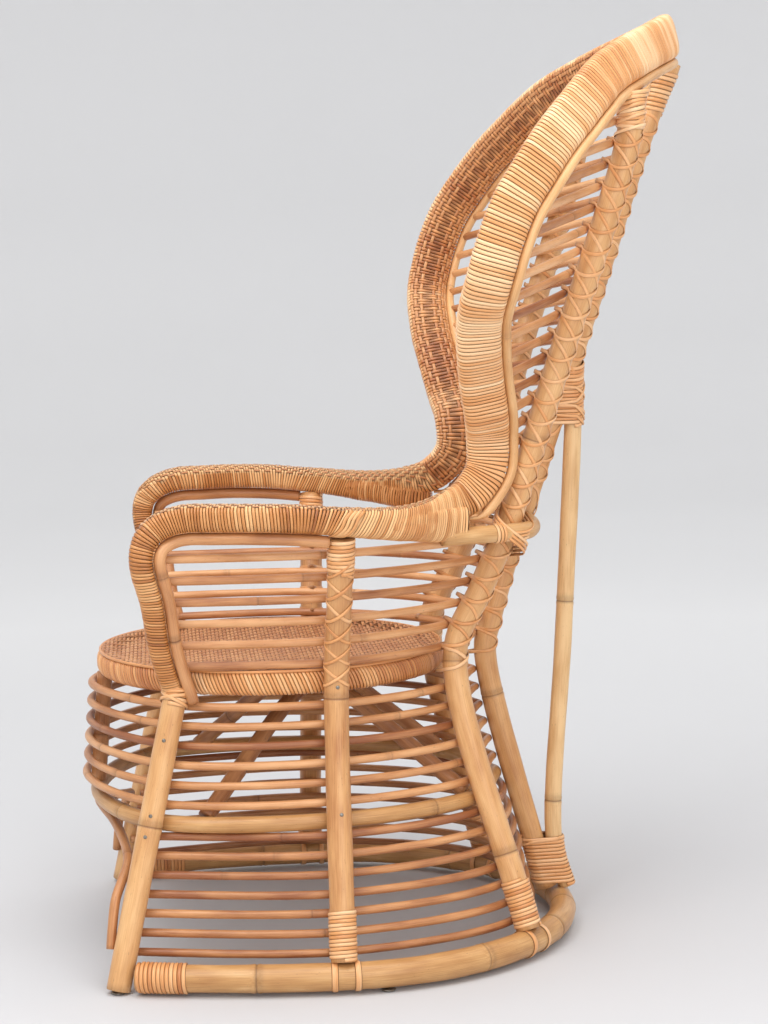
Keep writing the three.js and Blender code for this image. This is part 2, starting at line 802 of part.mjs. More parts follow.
function hoopPoints() {
  const stile = atHeight(stileCourse, hoopLevel);
  const clear = stileRadius + hoopRadius + rodGap;
  const beside = stile.clone().addScaledVector(polar(1, 8), clear * 1.12);
  const behind = stile.clone().addScaledVector(polar(1, 58), clear * 1.06);
  const centre = atHeight(centreCourse, hoopLevel);
  const end = vec(centreStileRadius + rodGap, centre.y, hoopLevel);
  const start = vec(hoopStartShares[0] * halfWidth, hoopStartShares[1] * backReach, hoopLevel);
  const bend = vec(hoopBendShare * halfWidth, centre.y, hoopLevel);
  return smooth([start, beside, behind, bend, end], [2, 2, 2, 2]);
}

// Seat: a woven disc in a wrapped roll, on two bars that two arched canes carry.
const rollShares = [
  [-1, -0.35], [-0.55, -1], [0.55, -1], [1, -0.5], [1, 0.5], [0.55, 1], [-0.55, 1], [-1, 0.62],
];
const seatSegments = 32;

function seatRoll() {
  const middle = seatRadius - seatRollWidth / 2;
  const level = seatHeight - seatRollHeight / 2;
  const profile = rollShares.map((pair) => {
    return new THREE.Vector2(middle + pair[0] * seatRollWidth / 2, level + pair[1] * seatRollHeight / 2);
  });
  profile.push(profile[0].clone());
  return new THREE.LatheGeometry(profile, seatSegments).rotateX(Math.PI / 2);
}

const weaveRadius = seatRadius - seatRollWidth - seatGap;
const weaveTop = seatHeight - weaveDip;
const weaveBottom = weaveTop - weaveThickness;

function seatWeave() {
  const profile = [
    new THREE.Vector2(0, weaveBottom),
    new THREE.Vector2(weaveRadius, weaveBottom),
    new THREE.Vector2(weaveRadius, weaveTop),
    new THREE.Vector2(0, weaveTop),
  ];
  return new THREE.LatheGeometry(profile, seatSegments).rotateX(Math.PI / 2);
}

const seatBarShare = 0.355;
const seatBarX = seatBarShare * seatRadius;
const seatBarLevel = weaveBottom - seatGap - seatBarRadius;

function seatBarPoints(side) {
  const inner = seatRadius - seatRollWidth - seatGap - rodGap;
  const reach = inner * Math.cos(Math.PI / seatSegments);
  const wide = seatBarX + seatBarRadius;
  const half = Math.sqrt(reach * reach - wide * wide);
  return [vec(side * seatBarX, -half, seatBarLevel), vec(side * seatBarX, half, seatBarLevel)];
}

// The two bars under the seat and the short rail between them, joined.
function seatCross() {
  const rail = [vec(-seatBarX, 0, seatBarLevel), vec(seatBarX, 0, seatBarLevel)];
  const bars = [1, -1].map((side) => pole(seatBarPoints(side), seatBarRadius, () => up, 8));
  return joined(bars.concat([pole(rail, seatBarRadius * 0.8, () => up, 8)]));
}

const archFrontShare = [0.96, -0.44];
const archRearAngle = 61;

function middleRingPoints() {
  return loopPoints(middleRingLevel, middleRingRadius, frontPostCourse[0].y);
}

const middleRingCourse = middleRingPoints();

// The point of the middle ring nearest to a plan position, and the ring's direction there.
function onMiddleRing(x, y) {
  let best = null;
  for (let i = 1; i < middleRingCourse.length; i += 1) {
    for (const t of [0, 0.25, 0.5, 0.75]) {
      const at = mix(middleRingCourse[i - 1], middleRingCourse[i], t);
      const distance = Math.hypot(at.x - x, at.y - y);
      if (!best || distance < best.distance) {
        const along = middleRingCourse[i].clone().sub(middleRingCourse[i - 1]).normalize();
        best = { distance, at, along };
      }
    }
  }
  return best;
}

const archCrownLevel = seatBarLevel - seatBarRadius - seatGap - archRadius;
const archCrownYShares = [0.16, 0.25, 0.34];
const archShoulderDrop = 6;

function seatArchPoints() {
  const crown = archCrownYShares.map((share) => vec(seatBarX, share * seatRadius, archCrownLevel));
  crown[0].z -= archShoulderDrop;
  crown[2].z -= archShoulderDrop;
  const front = onMiddleRing(archFrontShare[0] * seatRadius, archFrontShare[1] * seatRadius);
  const rearAim = polar(seatRadius, archRearAngle);
  const rear = onMiddleRing(rearAim.x, rearAim.y);
  const foot = (ring, top) => {
    const direction = ring.at.clone().sub(top).normalize();
    const stop = buttDistance(direction, ring.along, middleRingRadius, archRadius);
    return ring.at.clone().addScaledVector(direction, -stop);
  };
  return [foot(front, crown[0])].concat(crown, [foot(rear, crown[2])]);
}

// The thin arch that rises from the front feet and passes under the middle ring. It starts beside the leg,
// in front of it, and its crown lies under the ring's front. The rows are the share of the way from the
// crown out to the start, the set-back from the straight line between them and the share of the rise.
const archStartShare = 0.134;
const archBeside = polar(0.9911 * (frontLegRadius + frontArchRadius), -116.754);
const archCrownBackShare = 1.00813;
const frontArchShares = [
  [1, 0, 0], [0.9403, 0.0257, 0.4389], [0.7927, 0.0809, 0.6972], [0.5899, 0.0819, 0.7979],
  [0.2766, 0.0463, 0.919], [0, 0, 1],
];

function frontArchPoints() {
  const start = atHeight(frontLegCourse, archStartShare * seatHeight).add(archBeside);
  const drop = middleRingRadius + frontArchRadius + seatGap;
  const crown = vec(0, -archCrownBackShare * seatRadius, middleRingLevel - drop);
  const left = frontArchShares.map((row) => {
    const at = mix(crown, start, row[0]);
    return vec(at.x, at.y + row[1] * baseRadius, start.z + (crown.z - start.z) * row[2]);
  });
  const right = left.slice(0, -1).reverse().map((point) => mirrored(point, -1));
  return smooth(left.concat(right), 2);
}

// The stations of one turn of a binding: the angle of each, and whether it lies on the second pole. Round
// two poles the strand leaves one and meets the other at the same angle.
function turnStations(double) {
  const list = [];
  for (let i = 0; i < loopSteps; i += 1) {
    const angle = full * i / loopSteps;
    const ahead = Math.cos(angle);
    const level = Math.abs(ahead) < 1 / full;
    if (double && level) {
      const leaving = Math.sin(angle) > 0;
      list.push({ angle, onSecond: !leaving }, { angle, onSecond: leaving });
    } else {
      list.push({ angle, onSecond: double && ahead < 0 });
    }
  }
  return list;
}

// A binding: one flat strand wound round one pole, or round two that lie side by side.
function winding(first, second, turns) {
  const turn = turnStations(Boolean(second));
  const count = turns * turn.length;
  const stations = [];
  for (let i = 0; i <= count; i += 1) {
    const t = i / count;
    const { angle, onSecond } = turn[i % turn.length];
    const chosen = onSecond ? second : first;
    const axis = chosen.at(Math.min(t + 0.01, 1)).sub(chosen.at(Math.max(t - 0.01, 0))).normalize();
    const side = squareTo(chosen.facing, axis);
    const other = axis.clone().cross(side).multiplyScalar(first.hand);
    const out = side.clone().multiplyScalar(Math.cos(angle)).addScaledVector(other, Math.sin(angle));
    const radius = chosen.radius + strandGap + strandThickness / 2;
    stations.push({ at: chosen.at(t).addScaledVector(out, radius), out });
  }
  const points = stations.map((station) => station.at);
  const sections = stations.map((station, i) => {
    const tangent = tangentAt(points, i);
    const out = squareTo(station.out, tangent);
    const over = tangent.clone().cross(out).normalize();
    return {
      at: station.at,
      out: out.multiplyScalar(strandThickness / 2),
      over: over.multiplyScalar(strandWidth / 2),
    };
  });
  sections.perTurn = turn.length;
  return sections;
}

// The least gap between one turn of a binding and the next, between the corners of their sections.
function leastGap(sections) {
  const corners = sections.map((section) => strandOutlineShares.map((pair) => {
    return section.at.clone().addScaledVector(section.out, pair[0]).addScaledVector(section.over, pair[1]);
  }));
  let least = Infinity;
  for (let i = 0; i < corners.length; i += 1) {
    for (let j = i + sections.perTurn - 1; j < Math.min(corners.length, i + sections.perTurn + 2); j += 1) {
      for (const a of corners[i]) {
        for (const b of corners[j]) {
          least = Math.min(least, a.distanceTo(b));
        }
      }
    }
  }
  return least;
}

const chair = new THREE.Group();

const caneColour = 0xc98f55;
const rodColour = 0xb9773f;
const poleColour = 0xd09a5c;
const bambooColour = 0xdcb878;
const wrapColour = 0xd9a066;
const weaveColour = 0xc79a6b;
const metalColour = 0x6f6a60;

function addPiece(name, geometry, color, roughness = 0.55, metalness = 0) {
  const material = new THREE.MeshStandardMaterial({ color, roughness, metalness });
  const mesh = new THREE.Mesh(geometry, material);
  mesh.name = name;
  chair.add(mesh);
  return mesh;
}

const sides = [['left', 1], ['right', -1]];

function addBase() {
  addPiece('base_ring', pole(baseRingPoints(), ringRadius, outward, 8), bambooColour);
  addPiece('middle_ring', rodFrame(middleRingCourse, middleRingRadius, 6), bambooColour);
  for (const [label, side] of sides) {
    addPiece(`front_leg_${label}`, uprightPole('frontLeg', side), poleColour);
    addPiece(`side_post_${label}`, uprightPole('sidePost', side), poleColour);
    addPiece(`rear_stile_${label}`, uprightPole('stile', side), poleColour);
  }
  addPiece('centre_stile', uprightPole('centre', 1), poleColour);
  addPiece('back_brace', brace(), bambooColour);
  addPiece('front_post', pole(frontPostCourse, frontPostRadius, () => centreFacing, 8, up, up), rodColour);
  addPiece('front_arch', pole(frontArchPoints(), frontArchRadius, () => centreFacing, 6), rodColour);
  addPiece('upper_base_rods', upperBaseRods(), rodColour);
  addPiece('lower_base_rods', lowerBaseRods(), rodColour);
}

function addSeat() {
  addPiece('seat_weave', seatWeave(), weaveColour, 0.7);
  addPiece('seat_roll', seatRoll(), wrapColour);
  addPiece('seat_cross', seatCross(), rodColour);
  for (const [label, side] of sides) {
    const run = seatArchPoints().map((point) => mirrored(point, side));
    addPiece(`seat_arch_${label}`, pole(run, archRadius, () => up, 8), rodColour);
  }
}

function addArms() {
  for (const [label, side] of sides) {
    const band = armBand.map((station) => mirroredStation(station, side));
    addPiece(`arm_band_${label}`, bandGeometry(band), wrapColour);
    const cane = caneCourse.map((point) => mirrored(point, side));
    addPiece(`arm_cane_${label}`, pole(cane, armCaneRadius, () => mirrored(across, side), 6), caneColour);
    const hoop = hoopPoints().map((point) => mirrored(point, side));
    addPiece(`hoop_${label}`, pole(hoop, hoopRadius, () => up, 8), bambooColour);
  }
  addPiece('arm_rods', armRods(), rodColour);
}

function addBack() {
  addPiece('hood_rim', rimGeometry(), wrapColour);
  addPiece('rim_pole', rimPoleGeometry(), caneColour);
  backRods().forEach((geometry, i) => {
    addPiece(`back_rod_${String(i + 1).padStart(2, '0')}`, geometry, rodColour);
  });
}

function addGlides() {
  const spots = [
    ['front_left', vec(footX, footY, 0)], ['front_right', vec(-footX, footY, 0)],
    ['side_left', ringArc(9)], ['side_right', ringArc(171)], ['rear', ringArc(90)],
  ];
  for (const [label, spot] of spots) {
    const disc = new THREE.CylinderGeometry(glideRadius, glideRadius, glideHeight, 10);
    disc.rotateX(Math.PI / 2);
    const glide = addPiece(`glide_${label}`, disc, metalColour, 0.4, 0.8);
    glide.position.set(spot.x, spot.y, glideHeight / 2);
  }
}

// A stretch of a course, as a function of a share from 0 to 1 between two heights.
function stretch(points, low, high, radius, facing, hand) {
  return { at: (t) => atHeight(points, low + (high - low) * t), radius, facing, hand };
}

function addBinding(name, sections) {
  console.log(`${name}: least gap between turns ${leastGap(sections).toFixed(2)} mm`);
  addPiece(name, sweep(sections, strandOutline), wrapColour);
}

const bindingLow = postStart + strandWidth;
const bindingHigh = bindingLow + bindingTurns * (strandWidth + strandSpace);
const footStart = ringFront() + strandWidth;

function addBindings() {
  for (const [label, side] of sides) {
    for (const [name, piece] of [['side_post', uprights.sidePost], ['rear_stile', uprights.stile]]) {
      const course = piece.course.map((point) => mirrored(point, side));
      const run = stretch(course, bindingLow, bindingHigh, piece.radius, mirrored(piece.facing, side), side);
      addBinding(`${name}_binding_${label}`, winding(run, null, bindingTurns));
    }
    const ringRun = {
      at: (t) => ringSide(footStart + t * bindingTurns * turnLength, side),
      radius: ringRadius,
      facing: up,
      hand: side,
    };
    addBinding(`foot_binding_${label}`, winding(ringRun, null, bindingTurns));
  }
  const course = bracePoints();
  const legRun = stretch(centreCourse, bindingLow, bindingHigh, centreStileRadius, centreFacing, 1);
  const braceRun = stretch(course, bindingLow, bindingHigh, braceRadius, centreFacing, 1);
  addBinding('centre_binding', winding(legRun, braceRun, bindingTurns));
  const low = braceBindingLow;
  const high = braceBindingHigh;
  const stileRun = stretch(centreCourse, low, high, centreStileRadius, centreFacing, 1);
  const braceTop = stretch(course, low, high, braceRadius, centreFacing, 1);
  addBinding('brace_binding', winding(stileRun, braceTop, braceBindingTurns));
}

addBase();
addSeat();
addArms();
addBack();
addGlides();
addBindings();

const bounds = new THREE.Box3().setFromObject(chair, true);
const middleOfBounds = bounds.getCenter(new THREE.Vector3());
chair.position.set(-middleOfBounds.x, -middleOfBounds.y, -bounds.min.z);

export default chair;
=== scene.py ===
import math
import random

import bpy
import numpy as np
from mathutils import Matrix, Vector


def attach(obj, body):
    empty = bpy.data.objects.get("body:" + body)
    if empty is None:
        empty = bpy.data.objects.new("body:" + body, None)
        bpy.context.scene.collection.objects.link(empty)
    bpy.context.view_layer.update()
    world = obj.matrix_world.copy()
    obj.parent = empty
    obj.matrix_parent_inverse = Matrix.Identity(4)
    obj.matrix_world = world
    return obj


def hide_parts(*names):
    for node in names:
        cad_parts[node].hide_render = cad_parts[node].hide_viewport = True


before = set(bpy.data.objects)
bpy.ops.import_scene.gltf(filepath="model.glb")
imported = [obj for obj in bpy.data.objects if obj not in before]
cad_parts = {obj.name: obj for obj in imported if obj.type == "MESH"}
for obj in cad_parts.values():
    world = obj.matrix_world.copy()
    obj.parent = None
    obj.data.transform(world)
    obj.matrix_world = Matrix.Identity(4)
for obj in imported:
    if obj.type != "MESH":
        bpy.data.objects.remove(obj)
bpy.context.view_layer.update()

random.seed(11)
MM = 0.001
SEAT_MIDDLE = -160.84

# Key points of the poles, from the foot up.
FRONT_LEG = [
    (289.9, -382.9, 4.3), (223.7, -295.8, 391.7),
]
SIDE_POST = [
    (333.9, -90.7, 41.6), (251.1, -86.9, 393.5), (279.2, -82.8, 509), (299.8, -79.9, 591.9),
]
REAR_STILE = [
    (215.6, 170.3, 41.6), (144.9, 84.2, 410), (145, 120.2, 497), (148, 155.1, 578), (169, 225.2, 800),
    (199, 318.2, 1100), (202.4, 323.4, 1153.6),
]
CENTRE_STILE = [
    (0, 229.1, 41.6), (0, 145.2, 390), (0, 153.2, 433), (0, 177.2, 518), (0, 199.3, 580), (0, 287.2, 843),
    (0, 334.1, 983), (0, 375.1, 1108), (0, 396.1, 1163), (0, 414.4, 1204.5),
]
BRACE = [
    (0, 259.3, 41.6), (0, 242.2, 107.4), (0, 258.9, 412.8), (0, 275.6, 718.2), (0, 275.6, 755.9),
]
ARM_HOOP = [
    (218, 60.1, 579), (199, 114.8, 579), (180.8, 160.1, 579), (173.9, 172.8, 579), (164.7, 182, 579),
    (134.3, 192.9, 579), (96.7, 199, 579), (57.1, 200.2, 579), (16.5, 199, 579),
]
RIM_POLE = [
    (187.1, 118.9, 603), (173, 159.1, 654.8), (179.7, 163.5, 713.9), (209.2, 157.9, 750.5),
    (226.2, 151.5, 780.5), (247.6, 145.9, 809.9), (271.2, 141.7, 836.6), (288.6, 139.9, 861.4),
    (315, 140.8, 884), (333.1, 144.4, 903.7), (340.3, 149.8, 925), (344, 159.1, 956.6),
    (341.9, 176, 997.4), (332.3, 201.3, 1036.1), (315, 229.7, 1074.6), (291.8, 256.7, 1104.4),
    (264.8, 282.6, 1131.8), (229.6, 304.6, 1152.7), (176.6, 344.3, 1176.3), (120.8, 378.3, 1193.6),
    (53.3, 411.1, 1208.9), (0, 418.6, 1214.3),
]
ARM_CANE = [
    (231.2, -274.9, 371.4), (253.6, -294.7, 446.6), (277.4, -303.7, 515.8),
    (292, -313.1, 557.4), (295.1, -313.9, 571.2), (292.3, -308.6, 582.9), (288.7, -295.1, 590.6),
    (289.8, -277.9, 594.4), (296.5, -246.2, 594.7), (308, -199.9, 594.7), (309.7, -144.2, 592.2),
    (306.8, -103, 588.1), (306, -96.9, 587.3),
]
SEAT_ARCH = [
    (242.9, -262.8, 219.7), (87, -121.6, 360.4), (87, -99.6, 366.4), (87, -77.5, 360.4),
    (148.7, 94.7, 219.7),
]
SEAT_BAR = [
    (87, -355.1, 387.7), (87, 33.5, 387.7),
]
FRONT_ARCH = [
    (271.2, -391.5, 54.9), (264.8, -388.3, 87), (255, -383.8, 116), (237.4, -375.2, 136.7),
    (215, -367.9, 152), (189.1, -367.5, 160.4), (160, -370.8, 166), (118.3, -378.1, 174.8),
    (75, -387.8, 182.9), (37.2, -400.1, 190.2), (0, -407.8, 194.1),
]
FRONT_POST = [
    (0, -408.3, 223.3), (0, -394.8, 376.7),
]
# Level courses: the height, then points (x, y) on the left half, from the front leg to the rear middle. The rings and
# the base's rods have one more point, their front middle or front end.
MIDDLE_RING = (212, (230.1, -321.6), (258, -89.2), (164.3, 97.3), (0, 155.5), (0, -408.3))
UPPER_RODS = [
    (236.8, (230.6, -318.8), (257, -89), (162.3, 95.1), (0, 154.4), (0, -424.4)),
    (262.1, (226.3, -313.2), (250.8, -88.7), (157.1, 88.1), (0, 148.2), (0, -422.2)),
    (287.4, (222, -307.5), (244.6, -88.5), (152.3, 81.8), (0, 141.9), (0, -420)),
    (312.6, (217.7, -301.8), (238.4, -88.2), (147.6, 76.3), (0, 135.7), (0, -417.8)),
    (337.9, (213.4, -296.1), (235, -87.8), (142.8, 70.8), (0, 130.9), (0, -415.6)),
    (363.1, (209.1, -290.4), (232, -87.4), (139, 67.6), (0, 127), (0, -413.4)),
]
LOWER_RODS = [
    (47.4, (263, -361.5), (305.8, -90.6), (199.5, 145.5), (0, 201.6), (260.4, -375)),
    (72, (258.8, -355.9), (299.3, -90.4), (194.6, 139), (0, 195.2), (256.3, -369.5)),
    (96.6, (254.6, -350.4), (292.7, -90.2), (189.7, 132.4), (0, 188.8), (252.1, -364)),
    (121.1, (250.4, -344.9), (289.4, -90), (186.4, 128.5), (0, 185.6), (247.9, -358.5)),
    (145.7, (246.2, -339.3), (282.5, -89.7), (181.2, 121.3), (0, 179), (243.8, -352.9)),
    (170.3, (242, -333.8), (275.5, -89.5), (176, 114.1), (0, 172.4), (239.7, -347.4)),
    (194.9, (237.8, -328.3), (268.5, -89.3), (170.9, 106.9), (0, 165.7), (235.6, -341.9)),
]
ARM_RODS = [
    (418.5, (227.2, -282.1), (230.8, -86.2), (131.8, 66.5), (0, 126.1)),
    (448.4, (239.6, -295), (236.6, -85.2), (129.8, 73.7), (0, 134.4)),
    (478.3, (249.8, -298.8), (245.7, -84), (130.5, 88.9), (0, 142.2)),
    (508.2, (260.1, -302.7), (255.5, -82.9), (131.9, 104.3), (0, 151.2)),
    (538.1, (270.5, -308.7), (263.2, -81.8), (132.7, 117.7), (0, 160.8)),
    (568, (279.7, -313.7), (270.6, -80.8), (134.2, 130.4), (0, 171.5)),
]
# Back rods, from the hood's edge past the rear stile to the middle.
BACK_RODS = [
    ((174.6, 129, 610.2), (141, 144.9, 615.1), (0, 193, 629.8)),
    ((167.6, 150.2, 642.1), (145.6, 153.4, 643.2), (0, 202.4, 658.2)),
    ((167.4, 160.7, 670.9), (148.5, 162.2, 671.4), (0, 211.9, 686.5)),
    ((171.3, 164.6, 697.6), (150.9, 171.1, 699.6), (0, 217.7, 713.9)),
    ((177.1, 167.8, 724.2), (152.9, 179.9, 727.9), (0, 227.2, 742.4)),
    ((197.4, 164.4, 748.7), (154.9, 188.8, 756.2), (0, 236.6, 770.8)),
    ((213.5, 159.4, 772.7), (156.5, 198.1, 784.5), (0, 249.7, 800.3)),
    ((229.2, 155.2, 796.9), (158.5, 207.2, 812.8), (0, 259.1, 828.6)),
    ((247.8, 151.3, 821.1), (161, 216.5, 841), (0, 268.5, 856.9)),
    ((269.1, 147.2, 845.1), (163.6, 225.7, 869.2), (0, 278, 885.2)),
    ((288.7, 147, 870.4), (166.5, 234.9, 897.4), (0, 287.5, 913.5)),
    ((317.1, 148.4, 896.1), (169.8, 244, 925.5), (0, 297, 941.7)),
    ((333.5, 153.1, 923), (173, 253, 953.6), (0, 306.5, 970)),
    ((336.4, 161.9, 951), (175.9, 262.1, 981.8), (0, 315.8, 998.3)),
    ((334.6, 174, 980.2), (179, 271, 1010.1), (0, 325.1, 1026.6)),
    ((328.3, 190.7, 1010.9), (182.1, 279.4, 1038.2), (0, 334.2, 1055)),
    ((316.8, 213.3, 1043.6), (185.6, 287.4, 1066.5), (0, 343.6, 1083.7)),
    ((297.2, 240, 1077.8), (189.4, 295.5, 1095), (0, 353.3, 1112.7)),
    ((265, 271.9, 1114.7), (192.4, 299.5, 1123.3), (0, 364.5, 1143.2)),
]
# The wrapped band from the arm's foot to the hood's top. A row holds the centre, the inward and the outside direction,
# the half depth and the half thickness.
BAND = [
    (226.9, -302.5, 392, 0, 1, 0, 1, 0, 0, 13.8, 13.7),
    (249.9, -317.3, 443.3, 0, 0.978, 0.211, 0.926, 0.08, -0.37, 14.4, 14.3),
    (273.6, -326.8, 512.9, 0, 0.983, 0.185, 0.941, 0.062, -0.331, 15, 15.1),
    (288.2, -336.7, 553.7, 0, 0.98, 0.201, 0.957, 0.058, -0.283, 15.6, 16.1),
    (291.2, -338.1, 571.6, 0, 1, 0, 0.995, 0, -0.095, 15.9, 16.8),
    (289.7, -335.5, 586.5, 0, 0.96, -0.279, 1, 0, 0, 16.2, 18.2),
    (288.3, -329.4, 597.6, 0, 0.814, -0.581, 1, 0.017, 0.024, 17.1, 19.6),
    (285.8, -319.8, 606.6, 0, 0.593, -0.805, 1, 0.022, 0.016, 17.4, 21),
    (284.7, -304.4, 614.9, 0, 0.364, -0.931, 0.999, -0.036, -0.014, 17.7, 22.1),
    (285.8, -280.8, 620.6, 0, 0.129, -0.992, 0.991, -0.132, -0.017, 18, 23),
    (292.6, -245.7, 621, 0, 0.011, -1, 0.978, -0.211, -0.002, 18, 23),
    (304.1, -198.9, 620.9, 0, -0.018, -1, 0.992, -0.123, 0.002, 18, 23),
    (305.7, -142.6, 618.7, 0, -0.061, -0.998, 1, 0.017, -0.001, 18.3, 23),
    (302.8, -101.3, 614.6, 0, -0.082, -0.997, 0.992, 0.125, -0.01, 18.3, 22.4),
    (297.9, -64, 610.9, 0, -0.059, -0.998, 0.953, 0.304, -0.018, 19.5, 21),
    (283.9, -28.8, 607, 0, -0.005, -1, 0.851, 0.525, -0.003, 21, 18.9),
    (256.1, 15.6, 604.3, 0, 0.135, -0.991, 0.739, 0.668, 0.091, 24, 16.8),
    (216.6, 57.8, 614, 0, 0.358, -0.934, 0.696, 0.671, 0.257, 22.2, 15.4),
    (187.1, 97.1, 628.8, 0, 0.645, -0.764, 0.778, 0.48, 0.405, 25.5, 14),
    (173, 125.2, 662.9, 0, 0.973, -0.233, 0.993, 0.028, 0.118, 27.9, 14),
    (179.7, 127.9, 711.4, 0, 0.998, 0.069, 0.87, 0.034, -0.493, 29.4, 14),
    (209.2, 122.2, 743.7, 0, 0.982, 0.188, 0.786, 0.116, -0.608, 30, 14),
    (226.2, 115.9, 773.3, 0, 0.98, 0.198, 0.846, 0.106, -0.522, 30, 14),
    (247.6, 110.2, 803.3, 0, 0.983, 0.181, 0.806, 0.107, -0.582, 30, 14),
    (271.2, 105.6, 831.7, 0, 0.991, 0.134, 0.828, 0.075, -0.556, 30, 14),
    (288.6, 103.6, 859.6, 0, 0.999, 0.048, 0.811, 0.028, -0.584, 30, 14),
    (315, 104.6, 886.5, 0, 0.998, -0.068, 0.795, -0.041, -0.605, 30, 14),
    (333.1, 108.7, 910.3, 0, 0.983, -0.181, 0.909, -0.075, -0.41, 30, 14),
    (340.3, 114.7, 934.4, 0, 0.966, -0.259, 0.986, -0.043, -0.162, 30, 14),
    (344, 124.9, 969.1, 0, 0.939, -0.344, 1, -0.006, -0.018, 30, 14),
    (341.9, 143.9, 1014.5, 0, 0.882, -0.471, 0.994, 0.051, 0.096, 30, 14),
    (332.3, 171.5, 1057, 0, 0.819, -0.574, 0.97, 0.14, 0.2, 30, 14),
    (315, 201.7, 1097.8, 0, 0.771, -0.636, 0.924, 0.243, 0.295, 30, 14),
    (291.8, 230.3, 1129.3, 0, 0.727, -0.686, 0.865, 0.344, 0.365, 30, 14),
    (264.8, 257.7, 1158.4, 0, 0.683, -0.731, 0.798, 0.44, 0.411, 30, 14),
    (229.6, 284.2, 1182.8, 0, 0.561, -0.828, 0.73, 0.566, 0.383, 30, 14),
    (176.7, 327.5, 1208.6, -0.002, 0.463, -0.887, 0.669, 0.66, 0.342, 30, 14),
    (121.4, 364, 1227, -0.017, 0.391, -0.92, 0.575, 0.757, 0.312, 30, 14),
    (54.8, 399.6, 1243.8, -0.04, 0.312, -0.949, 0.424, 0.865, 0.267, 30, 14),
    (0, 411.3, 1250.8, 0, 0.196, -0.981, 0, 0.981, 0.196, 30, 14),
]
# Station of the band where the arm becomes the hood.
NECK = 18
# The thicker wrap at the arm's rear end, over the pole that comes out of it: rows as in the band.
ARM_END = [
    (280, -20.4, 603, 0, -0.05, -0.999, 0.84, 0.54, 0, 17, 18.2),
    (255.8, 15.1, 601.5, 0.02, -0.1, -0.995, 0.75, 0.66, 0, 22.3, 17.6),
    (226.5, 49.6, 597.6, 0.04, -0.16, -0.986, 0.78, 0.62, 0, 24, 16.8),
    (209.5, 74.6, 595.6, 0.04, -0.18, -0.983, 0.84, 0.54, 0, 25, 16),
    (203.5, 92.6, 594.6, 0.04, -0.18, -0.983, 0.88, 0.47, 0, 24.4, 14.8),
]


# ---------------------------------------------------------------- lines and frames

def unit(v):
    v = np.asarray(v, float)
    return v / np.maximum(np.linalg.norm(v, axis=-1, keepdims=True), 1e-9)


def flip(points):
    """The same points on the sitter's right."""
    return np.asarray(points, float) * np.array([-1.0, 1.0, 1.0])


def across(points):
    """A course carried on to the sitter's right; its last point lies in the middle."""
    return list(points) + [flip(p) for p in points[-2::-1]]


def square_to(v, run):
    """The direction v at each point, made square to the run there."""
    return unit(v - run * np.sum(v * run, axis=1, keepdims=True))


def smooth_line(points, step=8.0, extra=None):
    """Points on the smooth curve through the given ones, each span cut into equal steps.

    With extra, a list of rows with one row for each point, the rows are carried along too."""
    p = np.asarray(points, float)
    q = p if extra is None else np.hstack([p, np.asarray(extra, float)])
    ext = np.vstack([2 * q[0] - q[1], q, 2 * q[-1] - q[-2]])
    out = []
    for i in range(len(q) - 1):
        a, b, c, d = ext[i:i + 4]
        g0, g1, g2 = [max(np.linalg.norm(v[:3]) ** 0.5, 1e-3) for v in (b - a, c - b, d - c)]
        t1 = ((b - a) / g0 - (c - a) / (g0 + g1) + (c - b) / g1) * g1
        t2 = ((c - b) / g1 - (d - b) / (g1 + g2) + (d - c) / g2) * g1
        count = max(1, int(math.ceil(np.linalg.norm((c - b)[:3]) / step)))
        for k in range(count):
            t = k / count
            out.append(b + t1 * t + (3 * (c - b) - 2 * t1 - t2) * t * t + (2 * (b - c) + t1 + t2) * t ** 3)
    out.append(q[-1])
    return np.array(out)


def lengths(line):
    return np.concatenate([[0.0], np.cumsum(np.linalg.norm(np.diff(line, axis=0), axis=1))])


def length_at(line, z):
    """How far along a rising line a height lies."""
    return np.interp(z, line[:, 2], lengths(line))


def turn_in(count):
    """So many angles round a full turn."""
    return np.linspace(0, 2 * math.pi, count, endpoint=False)


def rows_at(where, marks, rows):
    """The rows, one to each mark, at the places between them."""
    return np.stack([np.interp(where, marks, column) for column in rows.T], -1)


def tangents(line):
    t = np.zeros_like(line)
    t[1:-1] = line[2:] - line[:-2]
    t[0] = line[1] - line[0]
    t[-1] = line[-1] - line[-2]
    return unit(t)


def carried_frame(line, start):
    """Two directions square to the line at each point, turned as little as possible along it."""
    t = tangents(line)
    n = np.zeros_like(line)
    v = np.asarray(start, float)
    for i in range(len(line)):
        v = v - t[i] * np.dot(v, t[i])
        v = v / max(np.linalg.norm(v), 1e-9)
        n[i] = v
    return n, np.cross(t, n)


def faced_frame(line, facing):
    """Two directions square to the line, the first as near as possible to the facing."""
    t = tangents(line)
    n = square_to(np.broadcast_to(np.asarray(facing, float), line.shape), t)
    return n, np.cross(t, n)


def longer(line, *step):
    """The line with one more point, a step beyond its end."""
    return np.vstack([line, line[-1] + step])


# ---------------------------------------------------------------- pieces

